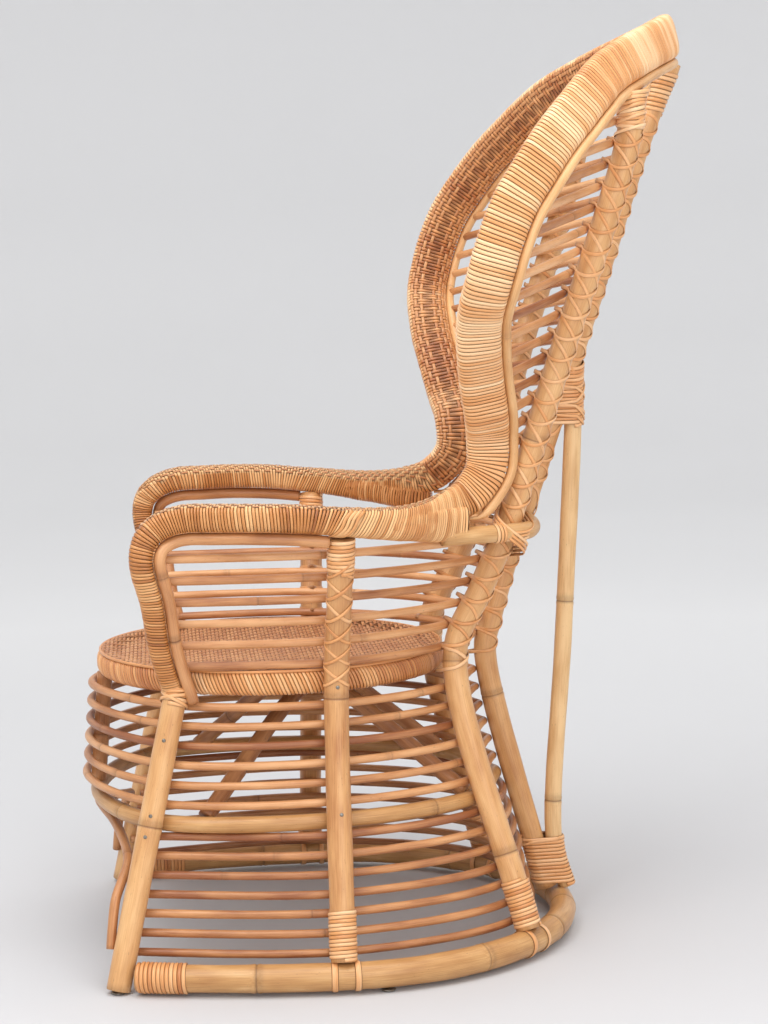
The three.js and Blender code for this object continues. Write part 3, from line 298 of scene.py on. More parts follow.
class Piece:
    """Gathers the canes or strands of one piece, with what their material reads at each point.

    fibre is the place in the cane, lengthways last; tone is how light the cane is; the darkness given with each point
    comes from the cane's own joints and cut ends and from painted shade in gaps and where strands pass under."""

    def __init__(self):
        self.parts = []
        self.count = 0

    def add(self, verts, quads, fibre, tone, mark_and_shade, tris=()):
        n = len(verts)
        full = lambda v: np.broadcast_to(np.asarray(v, float), (n,))
        self.parts.append((np.asarray(verts, float), np.asarray(quads, int).reshape(-1, 4) + self.count,
                           np.asarray(tris, int).reshape(-1, 3) + self.count, np.asarray(fibre, float),
                           full(tone), full(mark_and_shade)))
        self.count += n

    def mirrored(self):
        other = Piece()
        for verts, quads, tris, fibre, tone, mark_and_shade in self.parts:
            other.parts.append((flip(verts), quads[:, ::-1], tris[:, ::-1], fibre + 7.3, tone, mark_and_shade))
        other.count = self.count
        return other

    def build(self, name, material, slot, *replaces):
        verts = np.vstack([p[0] for p in self.parts]) * MM
        quads = np.vstack([p[1] for p in self.parts])
        tris = np.vstack([p[2] for p in self.parts])
        mesh = bpy.data.meshes.new(name)
        mesh.vertices.add(len(verts))
        mesh.vertices.foreach_set("co", verts.ravel())
        corners = np.concatenate([quads.ravel(), tris.ravel()])
        mesh.loops.add(len(corners))
        mesh.loops.foreach_set("vertex_index", corners)
        mesh.polygons.add(len(quads) + len(tris))
        starts = np.concatenate([np.arange(len(quads)) * 4, len(quads) * 4 + np.arange(len(tris)) * 3])
        mesh.polygons.foreach_set("loop_start", starts)
        mesh.polygons.foreach_set("use_smooth", np.full(len(starts), True))
        mesh.update(calc_edges=True)
        for label, kind, column in (("fibre", "FLOAT_VECTOR", 3), ("tone", "FLOAT", 4), ("mark_and_shade", "FLOAT", 5)):
            values = np.concatenate([p[column].reshape(len(p[0]), -1) for p in self.parts])
            field = mesh.attributes.new(label, kind, "POINT")
            field.data.foreach_set("vector" if column == 3 else "value", values.ravel().astype(np.float32))
        mesh.materials.append(material)
        piece = bpy.data.objects.new(name, mesh)
        bpy.context.collection.objects.link(piece)
        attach(piece, "root")
        if replaces:
            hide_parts(*replaces)

    def build_both(self, name, material):
        """This piece on the sitter's left, and its mirror image on the right."""
        self.build(f"{name}_left", material, "cane_wrap")
        self.mirrored().build(f"{name}_right", material, "cane_wrap")


def grid_quads(rows, columns):
    """Faces of a tube of so many rings, each of so many points."""
    i, j = np.meshgrid(np.arange(rows - 1), np.arange(columns), indexing="ij")
    k = (j + 1) % columns
    return np.stack([i * columns + j, i * columns + k, (i + 1) * columns + k, (i + 1) * columns + j], -1).reshape(-1, 4)


def ring_places(length, low, high, seed):
    """Where the joints of a cane lie along it."""
    chance = random.Random(seed)
    places = []
    s = chance.uniform(0.2, 0.9) * low
    while s < length - 12:
        if s > 12:
            places.append(s)
        s += chance.uniform(low, high)
    return places


def add_cane(piece, line, radius, sides=16, tone=0.0, joints=(), swell=0.05, offset=None, darkness=0.8, cut=None):
    """A round cane along a line, with a groove between two small swellings at each joint."""
    line = np.asarray(line, float)
    along = lengths(line)
    total = along[-1]
    marks = set(np.round(along, 3))
    for j in joints:
        for d in (-9, -4, -1.6, 0, 1.6, 4, 7, 10, 14):
            if 0.5 < j + d < total - 0.5:
                marks.add(round(j + d, 3))
    marks = np.array(sorted(marks))
    marks = marks[np.concatenate([[True], np.diff(marks) > 0.4])]
    marks[-1] = total
    pts = rows_at(marks, along, line)
    rad = np.interp(marks, along, np.broadcast_to(np.asarray(radius, float), along.shape))
    dark = np.zeros(len(marks))
    for j in joints:
        d = np.abs(marks - j)
        rad = rad * (1 + swell * np.exp(-((d - 3.2) / 2.6) ** 2) - swell * 0.9 * np.exp(-(d / 1.3) ** 2))
        dark = np.maximum(dark, darkness * random.uniform(0.6, 1.1) * np.exp(-(d / 1.6) ** 2))
        dark = np.maximum(dark, darkness * 0.4 * np.exp(-((marks - j - 5) / 4.5) ** 2))
    shift = random.uniform(0, 50) if offset is None else offset
    wobble = 0.012
    rad = rad * (1 + wobble * np.sin(marks / 37.0 + shift * 5) + wobble * 0.6 * np.sin(marks / 13.7 + shift * 3))
    upright = abs(unit(line[-1] - line[0])[2]) > 0.9
    n, b = carried_frame(pts, (1, 0, 0) if upright else (0, 0, 1))
    a = turn_in(sides)
    ring = np.cos(a)[None, :, None] * n[:, None, :] + np.sin(a)[None, :, None] * b[:, None, :]
    verts = pts[:, None, :] + ring * rad[:, None, None]
    m = len(marks)
    if cut is not None:
        run = unit(pts[-1] - pts[-2])
        verts[-1] -= run * (((verts[-1] - pts[-1]) @ np.asarray(cut)) / np.dot(run, cut))[:, None]
    fibre = np.zeros((m, sides, 3))
    fibre[..., 0] = np.cos(a)[None, :] * rad[:, None] + shift
    fibre[..., 1] = np.sin(a)[None, :] * rad[:, None]
    fibre[..., 2] = marks[:, None] + shift * 31
    fibre = fibre.reshape(-1, 3)
    t = tangents(pts)
    tris = []
    for j in range(sides):
        k = (j + 1) % sides
        tris += [(k, j, m * sides), ((m - 1) * sides + j, (m - 1) * sides + k, m * sides + 1)]
    verts = np.vstack([verts.reshape(-1, 3), pts[0] - t[0] * 0.4, pts[-1] + t[-1] * 0.4])
    fibre = np.vstack([fibre, fibre[0], fibre[-1]])
    mark_and_shade = np.concatenate([np.repeat(dark, sides), [0.9, 0.9]])
    piece.add(verts, grid_quads(m, sides), fibre, tone, mark_and_shade, tris)


ROUNDED = ((-1.0, 0.0), (-0.74, 0.74), (0.0, 1.0), (0.74, 0.74), (1.0, 0.0))
FLAT = ((-1.0, 0.0), (-0.66, 1.0), (0.66, 1.0), (1.0, 0.0))


def add_strand(piece, centre, side, top, width, thick, tone=0.0, offset=None, profile=ROUNDED, edge=0.9, dark=0.0):
    """A flat strand: centre line, direction across it and direction off the surface, at each point."""
    m, columns = len(centre), len(profile)
    full = lambda v: np.broadcast_to(np.asarray(v, float), (m,))
    w, h = full(width), full(thick)
    verts = np.zeros((m, columns, 3))
    fibre = np.zeros((m, columns, 3))
    mark_and_shade = np.zeros((m, columns))
    along = lengths(centre)
    shift = random.uniform(0, 90) if offset is None else offset
    for j, (x, y) in enumerate(profile):
        verts[:, j] = centre + side * (x * w / 2)[:, None] + top * (y * h)[:, None]
        fibre[:, j, 0] = x * w / 2 + shift
        fibre[:, j, 1] = y * h
        fibre[:, j, 2] = along + shift * 17
        # edge darkens the strand's two edges: painted shade in the gaps between strands; dark darkens the whole width:
        # painted shade where a strand passes under.
        mark_and_shade[:, j] = np.maximum(dark, edge if abs(x) == 1.0 else 0.0)
    last = (m - 1) * columns
    ends = [(0, j + 1, j) for j in (1, 2, 3)] + [(last, last + j, last + j + 1) for j in (1, 2, 3)]
    piece.add(verts.reshape(-1, 3), grid_quads(m, columns), fibre.reshape(-1, 3), np.repeat(full(tone), columns),
              mark_and_shade.ravel(), ends if profile == ROUNDED else ())


def lay_strand(piece, line, face, width, thick, tone=0.0, **more):
    """A flat strand along a line, its top as near as possible to the facing direction."""
    run = tangents(line)
    top = square_to(face, run)
    add_strand(piece, line, np.cross(top, run), top, width, thick, tone, **more)


# ---------------------------------------------------------------- materials

def math_node(tree, operation, a, b=None, c=None, clamp=False):
    node = tree.nodes.new("ShaderNodeMath")
    node.operation = operation
    node.use_clamp = clamp
    for k, v in enumerate((a, b, c)):
        if isinstance(v, (int, float)):
            node.inputs[k].default_value = v
        elif v is not None:
            tree.links.new(v, node.inputs[k])
    return node.outputs[0]


def mix_colour(tree, factor, a, b):
    node = tree.nodes.new("ShaderNodeMix")
    node.data_type = "RGBA"
    for k, v in ((0, factor), (6, a), (7, b)):
        if isinstance(v, tuple):
            node.inputs[k].default_value = v
        else:
            tree.links.new(v, node.inputs[k])
    return node.outputs[2]


def noise_of(tree, place, scale, stretch, detail=2.0, rough=0.5):
    """Noise over a place, stretched; the stretch is the scale on each axis."""
    mapping = tree.nodes.new("ShaderNodeMapping")
    mapping.inputs["Scale"].default_value = stretch
    tree.links.new(place, mapping.inputs["Vector"])
    noise = tree.nodes.new("ShaderNodeTexNoise")
    noise.inputs["Scale"].default_value = scale
    noise.inputs["Detail"].default_value = detail
    noise.inputs["Roughness"].default_value = rough
    tree.links.new(mapping.outputs[0], noise.inputs["Vector"])
    return noise.outputs["Fac"]


def cane_fibre_group():
    """Skin of peeled cane: fine fibres along it, soft patches, a few dark specks, and darker places, which are the
    cane's joints and painted shade in gaps and under crossing strands.
    """
    tree = bpy.data.node_groups.new("cane_fibres", "ShaderNodeTree")
    for label in ("Light", "Middle", "Dark", "Marks_and_shade"):
        tree.interface.new_socket(name=label, in_out="INPUT", socket_type="NodeSocketColor")
    for label in ("Patches", "Fibres", "Tones"):
        tree.interface.new_socket(name=label, in_out="INPUT", socket_type="NodeSocketFloat")
    for label, kind in (("Color", "Color"), ("Roughness", "Float"), ("Height", "Float")):
        tree.interface.new_socket(name=label, in_out="OUTPUT", socket_type="NodeSocket" + kind)
    given = tree.nodes.new("NodeGroupInput").outputs
    made = tree.nodes.new("NodeGroupOutput").inputs

    def attribute(name):
        node = tree.nodes.new("ShaderNodeAttribute")
        node.attribute_name = name
        return node.outputs

    place, tone, mark_and_shade = attribute("fibre")["Vector"], attribute("tone")["Fac"], attribute("mark_and_shade")["Fac"]
    fine = noise_of(tree, place, 1.0, (1.6, 1.6, 0.02), 3.0, 0.6)
    patch = noise_of(tree, place, 1.0, (0.06, 0.06, 0.014))
    speck = noise_of(tree, place, 1.0, (0.7, 0.7, 0.16))
    f = math_node(tree, "MULTIPLY", math_node(tree, "SUBTRACT", fine, 0.5), given["Fibres"])
    p = math_node(tree, "MULTIPLY", math_node(tree, "SUBTRACT", patch, 0.5), given["Patches"])
    v = math_node(tree, "ADD", math_node(tree, "ADD", f, p), math_node(tree, "MULTIPLY", tone, given["Tones"]))
    v = math_node(tree, "ADD", v, 0.5, clamp=True)
    low = math_node(tree, "MULTIPLY", v, 2.0, clamp=True)
    high = math_node(tree, "MULTIPLY_ADD", v, 2.0, -1.0, clamp=True)
    colour = mix_colour(tree, low, given["Dark"], given["Middle"])
    colour = mix_colour(tree, high, colour, given["Light"])
    dots = math_node(tree, "MULTIPLY_ADD", speck, 9.0, -6.1, clamp=True)
    colour = mix_colour(tree, math_node(tree, "MULTIPLY", dots, 0.55), colour, given["Marks_and_shade"])
    colour = mix_colour(tree, mark_and_shade, colour, given["Marks_and_shade"])
    rough = math_node(tree, "MULTIPLY_ADD", fine, 0.16, 0.34)
    tree.links.new(colour, made["Color"])
    tree.links.new(math_node(tree, "MULTIPLY_ADD", mark_and_shade, 0.2, rough), made["Roughness"])
    tree.links.new(math_node(tree, "MULTIPLY_ADD", mark_and_shade, -0.6, fine), made["Height"])
    return tree


FIBRES = cane_fibre_group()


def linear(r, g, b):
    def one(c):
        c = c / 255.0
        return c / 12.92 if c <= 0.04045 else ((c + 0.055) / 1.055) ** 2.4
    return (one(r), one(g), one(b), 1.0)


def shaded(name):
    """A new material, its node tree and its shader's inputs."""
    material = bpy.data.materials.new(name)
    material.use_nodes = True
    return material, material.node_tree, material.node_tree.nodes["Principled BSDF"].inputs


def cane_material(name, light, middle, dark, marked, patches=0.7, fibres=0.7, tones=0.35, coat=0.25):
    material, tree, shader = shaded(name)
    group = tree.nodes.new("ShaderNodeGroup")
    group.node_tree = FIBRES
    for label, value in (("Light", light), ("Middle", middle), ("Dark", dark), ("Marks_and_shade", marked)):
        group.inputs[label].default_value = linear(*value)
    for label, value in (("Patches", patches), ("Fibres", fibres), ("Tones", tones)):
        group.inputs[label].default_value = value
    tree.links.new(group.outputs["Color"], shader["Base Color"])
    tree.links.new(group.outputs["Roughness"], shader["Roughness"])
    dents = tree.nodes.new("ShaderNodeBump")
    dents.inputs["Strength"].default_value = 0.25
    dents.inputs["Distance"].default_value = 0.0004
    tree.links.new(group.outputs["Height"], dents.inputs["Height"])
    tree.links.new(dents.outputs["Normal"], shader["Normal"])
    shader["Coat Weight"].default_value = coat
    shader["Coat Roughness"].default_value = 0.3
    shader["IOR"].default_value = 1.45
    return material


# The light colour is pushed near white: partly the cane's own pale tone, partly a painted highlight for the sheen on
# the hood's crown.
WRAP = cane_material("wrapped_strand", (252, 212, 164), (228, 162, 100), (184, 110, 58), (96, 50, 22),
                     tones=0.45, coat=0.45)
# A darker copy of the wrapped strand for the arms: painted shade, as the arms' sides take less light from above than
# the hood.
SHADED_ARM_WRAP = cane_material("arm_strand_shaded", (242, 192, 134), (200, 132, 70), (152, 88, 38), (80, 40, 16),
                         tones=0.45, coat=0.35)
WOVEN = cane_material("woven_strand", (216, 160, 108), (188, 124, 76), (138, 80, 42), (62, 32, 14),
                      tones=0.5, coat=0.2)
POLE = cane_material("pole_cane", (240, 194, 138), (214, 160, 104), (174, 112, 64), (88, 48, 22), 1.0, 1.0)
ROD = cane_material("rod_cane", (232, 178, 126), (202, 142, 92), (150, 90, 54), (78, 42, 22), 1.2, 0.9)
BAMBOO = cane_material("bamboo_skin", (238, 198, 144), (202, 152, 96), (160, 106, 58), (92, 58, 30), 1.0, 1.0, 0.4)
# Dark brown so the gaps between the wound turns look dark: painted shade.
SHADE_CORE = cane_material("core_under_wrap_shaded", (150, 96, 54), (116, 70, 36), (80, 44, 20), (50, 26, 13), coat=0.0)


def metal_material():
    material, tree, shader = shaded("worn_steel")
    place = tree.nodes.new("ShaderNodeTexCoord").outputs["Object"]
    rust = noise_of(tree, place, 320.0, (1, 1, 1), 4.0, 0.6)
    wear = noise_of(tree, place, 90.0, (1, 1, 1))
    rusty = math_node(tree, "MULTIPLY_ADD", rust, 4.0, -1.7, clamp=True)
    tree.links.new(mix_colour(tree, rusty, linear(150, 146, 138), linear(96, 78, 58)), shader["Base Color"])
    tree.links.new(math_node(tree, "MULTIPLY_ADD", wear, 0.4, 0.25), shader["Roughness"])
    tree.links.new(math_node(tree, "MULTIPLY_ADD", rust, -2.0, 1.8, clamp=True), shader["Metallic"])
    return material


STEEL = metal_material()


# ---------------------------------------------------------------- courses of the poles

SIDES = ((1, "left"), (-1, "right"))
POLES, RODS, BAMBOOS = (POLE, "cane_pole"), (ROD, "cane_rod"), (BAMBOO, "bamboo_pole")
ROD_RADIUS = 5.6
POST_RADIUS = 16.5
STILE_RADIUS = 17.0
CENTRE_RADIUS = 16.0
RING_RADIUS, RING_LEVEL, RING_MIDDLE = 334.0, 22.8, 76 + SEAT_MIDDLE


def heading(degrees):
    """The level direction so many degrees round from the sitter's left."""
    return np.array([math.cos(math.radians(degrees)), math.sin(math.radians(degrees)), 0])


leg_line = smooth_line(FRONT_LEG, 12)
post_line = smooth_line(SIDE_POST, 10)
stile_line = smooth_line(REAR_STILE, 10)
centre_line = smooth_line(CENTRE_STILE, 10)
brace_line = smooth_line(BRACE, 12)
hoop_line = smooth_line(ARM_HOOP, 6)
LEG_OUT, POST_OUT, STILE_OUT, CENTRE_OUT = heading(-31.1), heading(0), heading(57.4), np.array([0, 1.0, 0])


def level_points(row):
    return [np.array((x, y, row[0]), float) for x, y in row[1:]]


def whole_loop(row):
    """A loop round the base from its left half, butted at the rear middle."""
    leg, side, stile, centre, front = level_points(row)
    return smooth_line(across([centre + (0.2, 0, 0), stile, side, leg, front]))


def rods_of(name, lines, node, lean=0.0):
    piece = Piece()
    for i, line in enumerate(lines):
        add_cane(piece, line, ROD_RADIUS * random.uniform(0.97, 1.03), 14, random.uniform(-1.2, 1.2) + lean,
                 ring_places(lengths(line)[-1], 330, 700, f"{name}{i}"), 0.035, darkness=0.45)
    piece.build(name, *RODS, node)


def base_rods():
    rods_of("drum_rods", [whole_loop(row) for row in UPPER_RODS], "upper_base_rods")
    lines = []
    for row in LOWER_RODS:
        *left, end = level_points(row)
        lines.append(smooth_line(across([end] + left)))
    rods_of("skirt_rods", lines, "lower_base_rods", -0.2)


def arm_rods():
    """Each rod runs on forward from its first point by its own radius."""
    lines = []
    for row in ARM_RODS:
        left = level_points(row)
        lines.append(smooth_line(across([left[0] - (0, ROD_RADIUS, 0)] + left)))
    rods_of("arm_side_rods", lines, "arm_rods")


def back_rods():
    """Each rod runs on into the cane along the hood's inner edge."""
    rim = smooth_line(RIM_POLE, 4)
    reach = np.arange(0, 25)
    for i, row in enumerate(BACK_RODS, 1):
        line = smooth_line(across(row))
        out = unit(line[0] - line[1])
        away = [np.linalg.norm(rim - line[0] - out * r, axis=1).min() for r in reach]
        tip = line[0] + out * reach[int(np.argmin(away))]
        rods_of(f"hood_rod_{i:02d}", [np.vstack([tip, line, flip(tip)])], f"back_rod_{i:02d}")


def ring_of_base():
    """The bottom ring's course: half a circle behind, its sides drawn in towards the front legs."""
    front, foot, drawn_in = -357.7, -382.96, 44.1
    pts = []
    for y in np.linspace(front, RING_MIDDLE, 30, endpoint=False):
        share = (RING_MIDDLE - y) / (RING_MIDDLE - foot)
        pts.append((RING_RADIUS - drawn_in * share * share, y, RING_LEVEL))
    left = np.array(pts)
    for a in np.linspace(0, math.pi, 90):
        pts.append((RING_RADIUS * math.cos(a), RING_MIDDLE + RING_RADIUS * math.sin(a), RING_LEVEL))
    return np.array(pts + list(flip(left[::-1])))


def one_cane(name, made_of, node, line, radius, sides, tone, joints, swell, **more):
    """A piece of one cane, made of a material; the slot passed with it is not used."""
    piece = Piece()
    add_cane(piece, line, radius, sides, tone, joints, swell, **more)
    piece.build(name, *made_of, node)


def base_rings():
    line = ring_of_base()
    marks = [158, 470, 640, 815, 1010]
    marks += [lengths(line)[-1] - m - 37 for m in marks]
    one_cane("bottom_ring", BAMBOOS, "base_ring", line, 18.2, 28, -0.2, marks, 0.04, offset=3.0, darkness=0.7)
    line = whole_loop(MIDDLE_RING)
    marks = ring_places(lengths(line)[-1], 300, 480, "middle")
    one_cane("ring_under_drum", BAMBOOS, "middle_ring", line, 11.0, 20, -0.1, marks, 0.04, offset=9.0, darkness=0.5)


def pair_of(name, made_of, node, line, radius, sides, tone, joints, nails=(), out=POST_OUT, cut=None):
    """The same cane on both sides, its joints at other places on the right. Nails go by height and angle."""
    for side, label in SIDES:
        run = line * (side, 1, 1)
        places = joints if side == 1 else [j * 0.83 + 21 for j in joints]
        one_cane(f"{name}_{label}", made_of, f"{node}_{label}", run, radius, sides, tone, places, 0.03, cut=cut)
        if nails:
            heads = Piece()
            skin = pole_skin(run, out * (side, 1, 1), radius)
            for level, angle in nails:
                nail_head(heads, skin, level, math.radians(angle) * side)
            heads.build(f"{name}_nails_{label}", STEEL, made_of[1])


def nail_head(piece, skin, level, angle):
    """A small round nail head set in a pole."""
    at, face = (v[0] for v in skin(np.array([level]), np.array([angle]), np.array([0.0])))
    aside = unit(np.cross(face, (0, 0, 1.0)))
    up = np.cross(aside, face)
    turn = turn_in(14)
    ring = np.cos(turn)[:, None] * aside + np.sin(turn)[:, None] * up
    profile = ((2.7, -0.5), (2.5, 0.35), (1.9, 0.8), (1.0, 1.0), (0.1, 1.05))
    verts = np.vstack([at + face * h + ring * r for r, h in profile])
    piece.add(verts, grid_quads(len(profile), len(turn)), verts, 0.0, 0.0)


def poles():
    pair_of("leg", POLES, "front_leg", leg_line, 16.0, 26, 0.3, [216], ((322, 16), (226, 22), (199, 16)), LEG_OUT)
    pair_of("post", POLES, "side_post", post_line, POST_RADIUS, 26, -0.4, [343], ((391, 2), (224, 8)))
    pair_of("stile", POLES, "rear_stile", longer(stile_line, 0.2, 1.6, 4.0), STILE_RADIUS, 26, 0.1, [106, 377, 700],
            cut=(0, -0.513, 0.859))
    one_cane("middle_stile", POLES, "centre_stile", longer(centre_line, 0, 3.4, 9.4), CENTRE_RADIUS, 26, 0.0,
             [294, 560, 905], 0.03)
    brace = longer(brace_line, 0, 0, 32.0)
    one_cane("bamboo_brace", BAMBOOS, "back_brace", brace, np.linspace(12.0, 12.6, len(brace)), 24, 1.0,
             [129, 419], 0.035, offset=21.0, darkness=0.75)
    post = smooth_line(FRONT_POST, 10)
    one_cane("drum_front_post", RODS, "front_post", post, 11.0, 20, -0.2, [66], 0.04, darkness=0.5)
    arch = smooth_line(across(FRONT_ARCH), 7)
    places = ring_places(lengths(arch)[-1], 200, 330, "arch")
    one_cane("low_front_arch", RODS, "front_arch", arch, 6.5, 14, -0.2, places, 0.04, darkness=0.5)
    pair_of("under_seat_arch", RODS, "seat_arch", smooth_line(SEAT_ARCH), 11.0, 18, -0.3, [90, 280])
    pair_of("arm_end_pole", BAMBOOS, "hoop", hoop_line, 12.0, 24, 0.1, [262])
    pair_of("arm_inner_cane", (ROD, "cane_pole"), "arm_cane", smooth_line(ARM_CANE, 5), 8.0, 18, -0.2, [95, 188])
    low_end = (194.5, 98.1, 600.0)
    line = smooth_line(across([low_end] + RIM_POLE))
    along = lengths(line)
    thin = np.clip(np.minimum(along, along[-1] - along) / 34.0, 0.35, 1.0)
    places = ring_places(along[-1], 500, 800, "rim")
    one_cane("hood_inner_cane", POLES, "rim_pole", line, 6.5 * thin, 16, 0.4, places, 0.02, darkness=0.4)
    bars = Piece()
    for side, _ in SIDES:
        add_cane(bars, smooth_line(SEAT_BAR, 12) * (side, 1, 1), 10.0, 18, -0.3, [80, 260], 0.04, darkness=0.5)
    bars.build("seat_bars", *RODS, "seat_cross")


# ---------------------------------------------------------------- wrapped bands

def band_rows(rows):
    """The band's centre, inward and outside directions, half depth and half thickness along it."""
    data = np.array(rows, float)
    run = smooth_line(data[:, :3], 3.0, data[:, 3:])
    line, outside = run[:, :3], run[:, 6:9]
    t = tangents(line)
    inward = square_to(run[:, 3:6], t)
    outside = outside - t * np.sum(outside * t, axis=1, keepdims=True)
    return line, inward, square_to(outside, inward), run[:, 9], run[:, 10]


BAND_POWER = 0.62


def section_place(angle, power):
    """The place on the section, a circle pressed towards a rectangle; power 1 is the circle."""
    c, s = np.cos(angle), np.sin(angle)
    return np.sign(c) * np.abs(c) ** power, np.sign(s) * np.abs(s) ** power


def band_skin(rows, power):
    """Gives the place on a band's skin, the direction off it and the half depth, by length and angle.

    The band's whole length comes with it."""
    line, inward, outside, depth, thick = rows
    along = lengths(line)
    fields = np.hstack([line, inward, outside, depth[:, None], thick[:, None]])

    def skin(place, angle):
        f = rows_at(place, along, fields)
        a, b = section_place(angle, power)
        d, t = f[:, 9], f[:, 10]
        off_a = np.sign(a) * np.abs(a) ** (2 / power - 1) / np.maximum(d, 1)
        off_b = np.sign(b) * np.abs(b) ** (2 / power - 1) / np.maximum(t, 1)
        i_dir, o_dir = unit(f[:, 3:6]), unit(f[:, 6:9])
        at = f[:, :3] + i_dir * (a * d)[:, None] + o_dir * (b * t)[:, None]
        return at, unit(i_dir * off_a[:, None] + o_dir * off_b[:, None]), d

    return skin, along[-1]


def band_core(name, rows, power):
    """The body under the turns, coloured dark as painted shade in the gaps between them, with flat ends."""
    sides, sunk = 20, 2.6
    keep = np.append(np.arange(0, len(rows[0]) - 1, 2), len(rows[0]) - 1)
    line, inward, outside, depth, thick = (field[keep, None] for field in rows)
    a, b = (v[None, :, None] for v in section_place(turn_in(sides), power))
    body = line + inward * (a * (depth[..., None] - sunk)) + outside * (b * (thick[..., None] - sunk))
    last = (len(keep) - 1) * sides
    tris = [(0, j + 1, j) for j in range(1, sides - 1)] + [(last, last + j, last + j + 1) for j in range(1, sides - 1)]
    verts = body.reshape(-1, 3)
    core = Piece()
    core.add(verts, grid_quads(len(keep), sides), verts, 0.0, 0.0, tris)
    core.build(name + "_core", SHADE_CORE, "cane_wrap")


def wound_band(name, nodes, rows, pitch, woven_at, seed, steps=36, power=BAND_POWER, slant=0.0, leaders=6, lean=0.0,
               thickness=1.6, material=WRAP, edge=0.8, woven_tone=0.0):
    """A core with one flat strand wound round and round it.

    Where woven_at gives a half angle, the turns pass over and under lengthwise strips, two turns at a time."""
    band_core(name, rows, power)
    skin, total = band_skin(rows, power)
    chance = random.Random(seed)
    wrap = Piece()
    turns = round(total / pitch)
    pitch = total / turns
    count = turns * steps
    u = np.arange(count + 1) / steps
    angle = 2 * math.pi * u
    by_turn = lambda low, high: np.repeat([chance.uniform(low, high) for _ in range(turns + 1)], steps)[:count + 1]
    lean_in = np.minimum(1, np.minimum(u, turns - u) / 6) * (slant(u / turns) if callable(slant) else slant)
    place = np.clip(u * pitch + lean_in * section_place(angle, power)[0], 0.6, total - 0.6)
    middle, half = woven_at(place / total)
    off = (angle - middle + math.pi) % (2 * math.pi) - math.pi
    lane = np.floor((off + half) / (2 * half) * leaders)
    in_lane = (off + half) / (2 * half) * leaders - lane
    over = (np.floor(u) + 2 * (lane % 2)) % 4 < 2
    inside = np.abs(off) < half
    woven = inside & (leaders > 1)
    hump = np.sin(np.pi * in_lane) ** 0.6
    wave = np.where(inside, np.where(over, 0.75, -0.75) * hump, 0.0)
    # Turns darken where they pass under the strips, and towards the strips' sides where they pass over: painted shade.
    dark = np.where(woven, np.where(over, 0.55 * (1 - hump), 0.6), 0.0)
    at, normal, _ = skin(place, angle)
    pos = at + normal * (-1.9 + wave + by_turn(-0.2, 0.2))[:, None]
    # the strand is as wide as the turns are apart at its own side of the bend
    ahead, behind = np.clip(place + 2, 0, total), np.clip(place - 2, 0, total)
    side = skin(ahead, angle)[0] - skin(behind, angle)[0]
    gap = np.linalg.norm(side, axis=1) / np.maximum(ahead - behind, 0.5)
    width = pitch * np.clip(gap, 0.5, 2.4) * 0.965
    side = square_to(side, normal)
    spots = np.arange(0, turns + 9, 9)
    patch = np.interp(u, spots, [chance.uniform(-0.5, 0.7) for _ in spots])
    # woven_tone shifts the tone of the woven part; on the arms it lightens their top: painted light from above.
    tone = patch + by_turn(-0.45, 0.45) + lean + np.where(woven, woven_tone, 0.0)
    cuts = list(range(0, count, steps * 24)) + [count]
    for low, high in zip(cuts[:-1], cuts[1:]):
        part = slice(low, high + 1)
        add_strand(wrap, pos[part], side[part], normal[part], width[part], thickness, tone[part], offset=low * 0.13,
                   dark=dark[part], edge=edge)
    wrap.build(name, material, "cane_wrap", *nodes)

    strips = Piece()
    for j in range(leaders):
        q = np.arange(pitch / 2, total - pitch / 2, pitch / 2)
        q = q[woven_at(q / total)[1] > 0.3]
        if not len(q):
            continue
        mid, wide = woven_at(q / total)
        ang = mid - wide + (j + 0.5) / leaders * 2 * wide
        at, normal, d = skin(q, ang)
        turn_here = np.floor(q / pitch - (ang % (2 * math.pi)) / (2 * math.pi) + 0.5)
        up_here = ~((turn_here + 2 * (j % 2)) % 4 < 2)
        p = at + normal * (np.where(up_here, 0.35, -1.5) - 0.9)[:, None]
        size = np.clip(2 * wide / leaders * d * 0.56, 2.5, 6.5)
        # Strips darken where they pass under the turns: painted shade.
        lay_strand(strips, p, normal, size, 0.9, chance.uniform(-0.4, 0.4) + lean, dark=np.where(up_here, 0.0, 0.6))
    if strips.count:
        strips.build(name + "_strips", WOVEN, "cane_wrap")


def even_weave(middle, half):
    """The same middle angle and half angle all along."""
    return lambda share: (np.full_like(share, middle), np.full_like(share, half))


def arm_weave(share):
    middle = np.interp(share, [0, 0.3, 0.42, 0.9, 1.0], [-2.3, -2.5, -2.85, -2.8, -1.9])
    return middle, np.interp(share, [0, 0.3, 0.36, 1.0], [0.06, 0.06, 0.95, 0.95])


def arm_slant(share):
    """Turns lean back a little at the arm's front and strongly forward behind the side post."""
    return np.interp(share, [0, 0.25, 0.36, 0.6, 0.68, 0.9, 1.0], [-3.0, -2.0, 2.0, 2.5, -8.0, -8.0, -3.0])


def post_ties(arm):
    """Four strands side by side that come down slanting over the arm to the side post."""
    skin, total = band_skin(arm, BAND_POWER)
    ties = Piece()
    t = np.linspace(0, 1, 16)
    for k in range(4):
        at, normal, _ = skin(total * 0.668 + 4.7 * k - 4 + 26 * (1 - t), 2.4 - 2.1 * t)
        lay_strand(ties, at + normal * 0.5, normal, 4.9, 1.3, random.uniform(0.1, 0.7), edge=0.6)
    ties.build_both("post_ties", SHADED_ARM_WRAP)


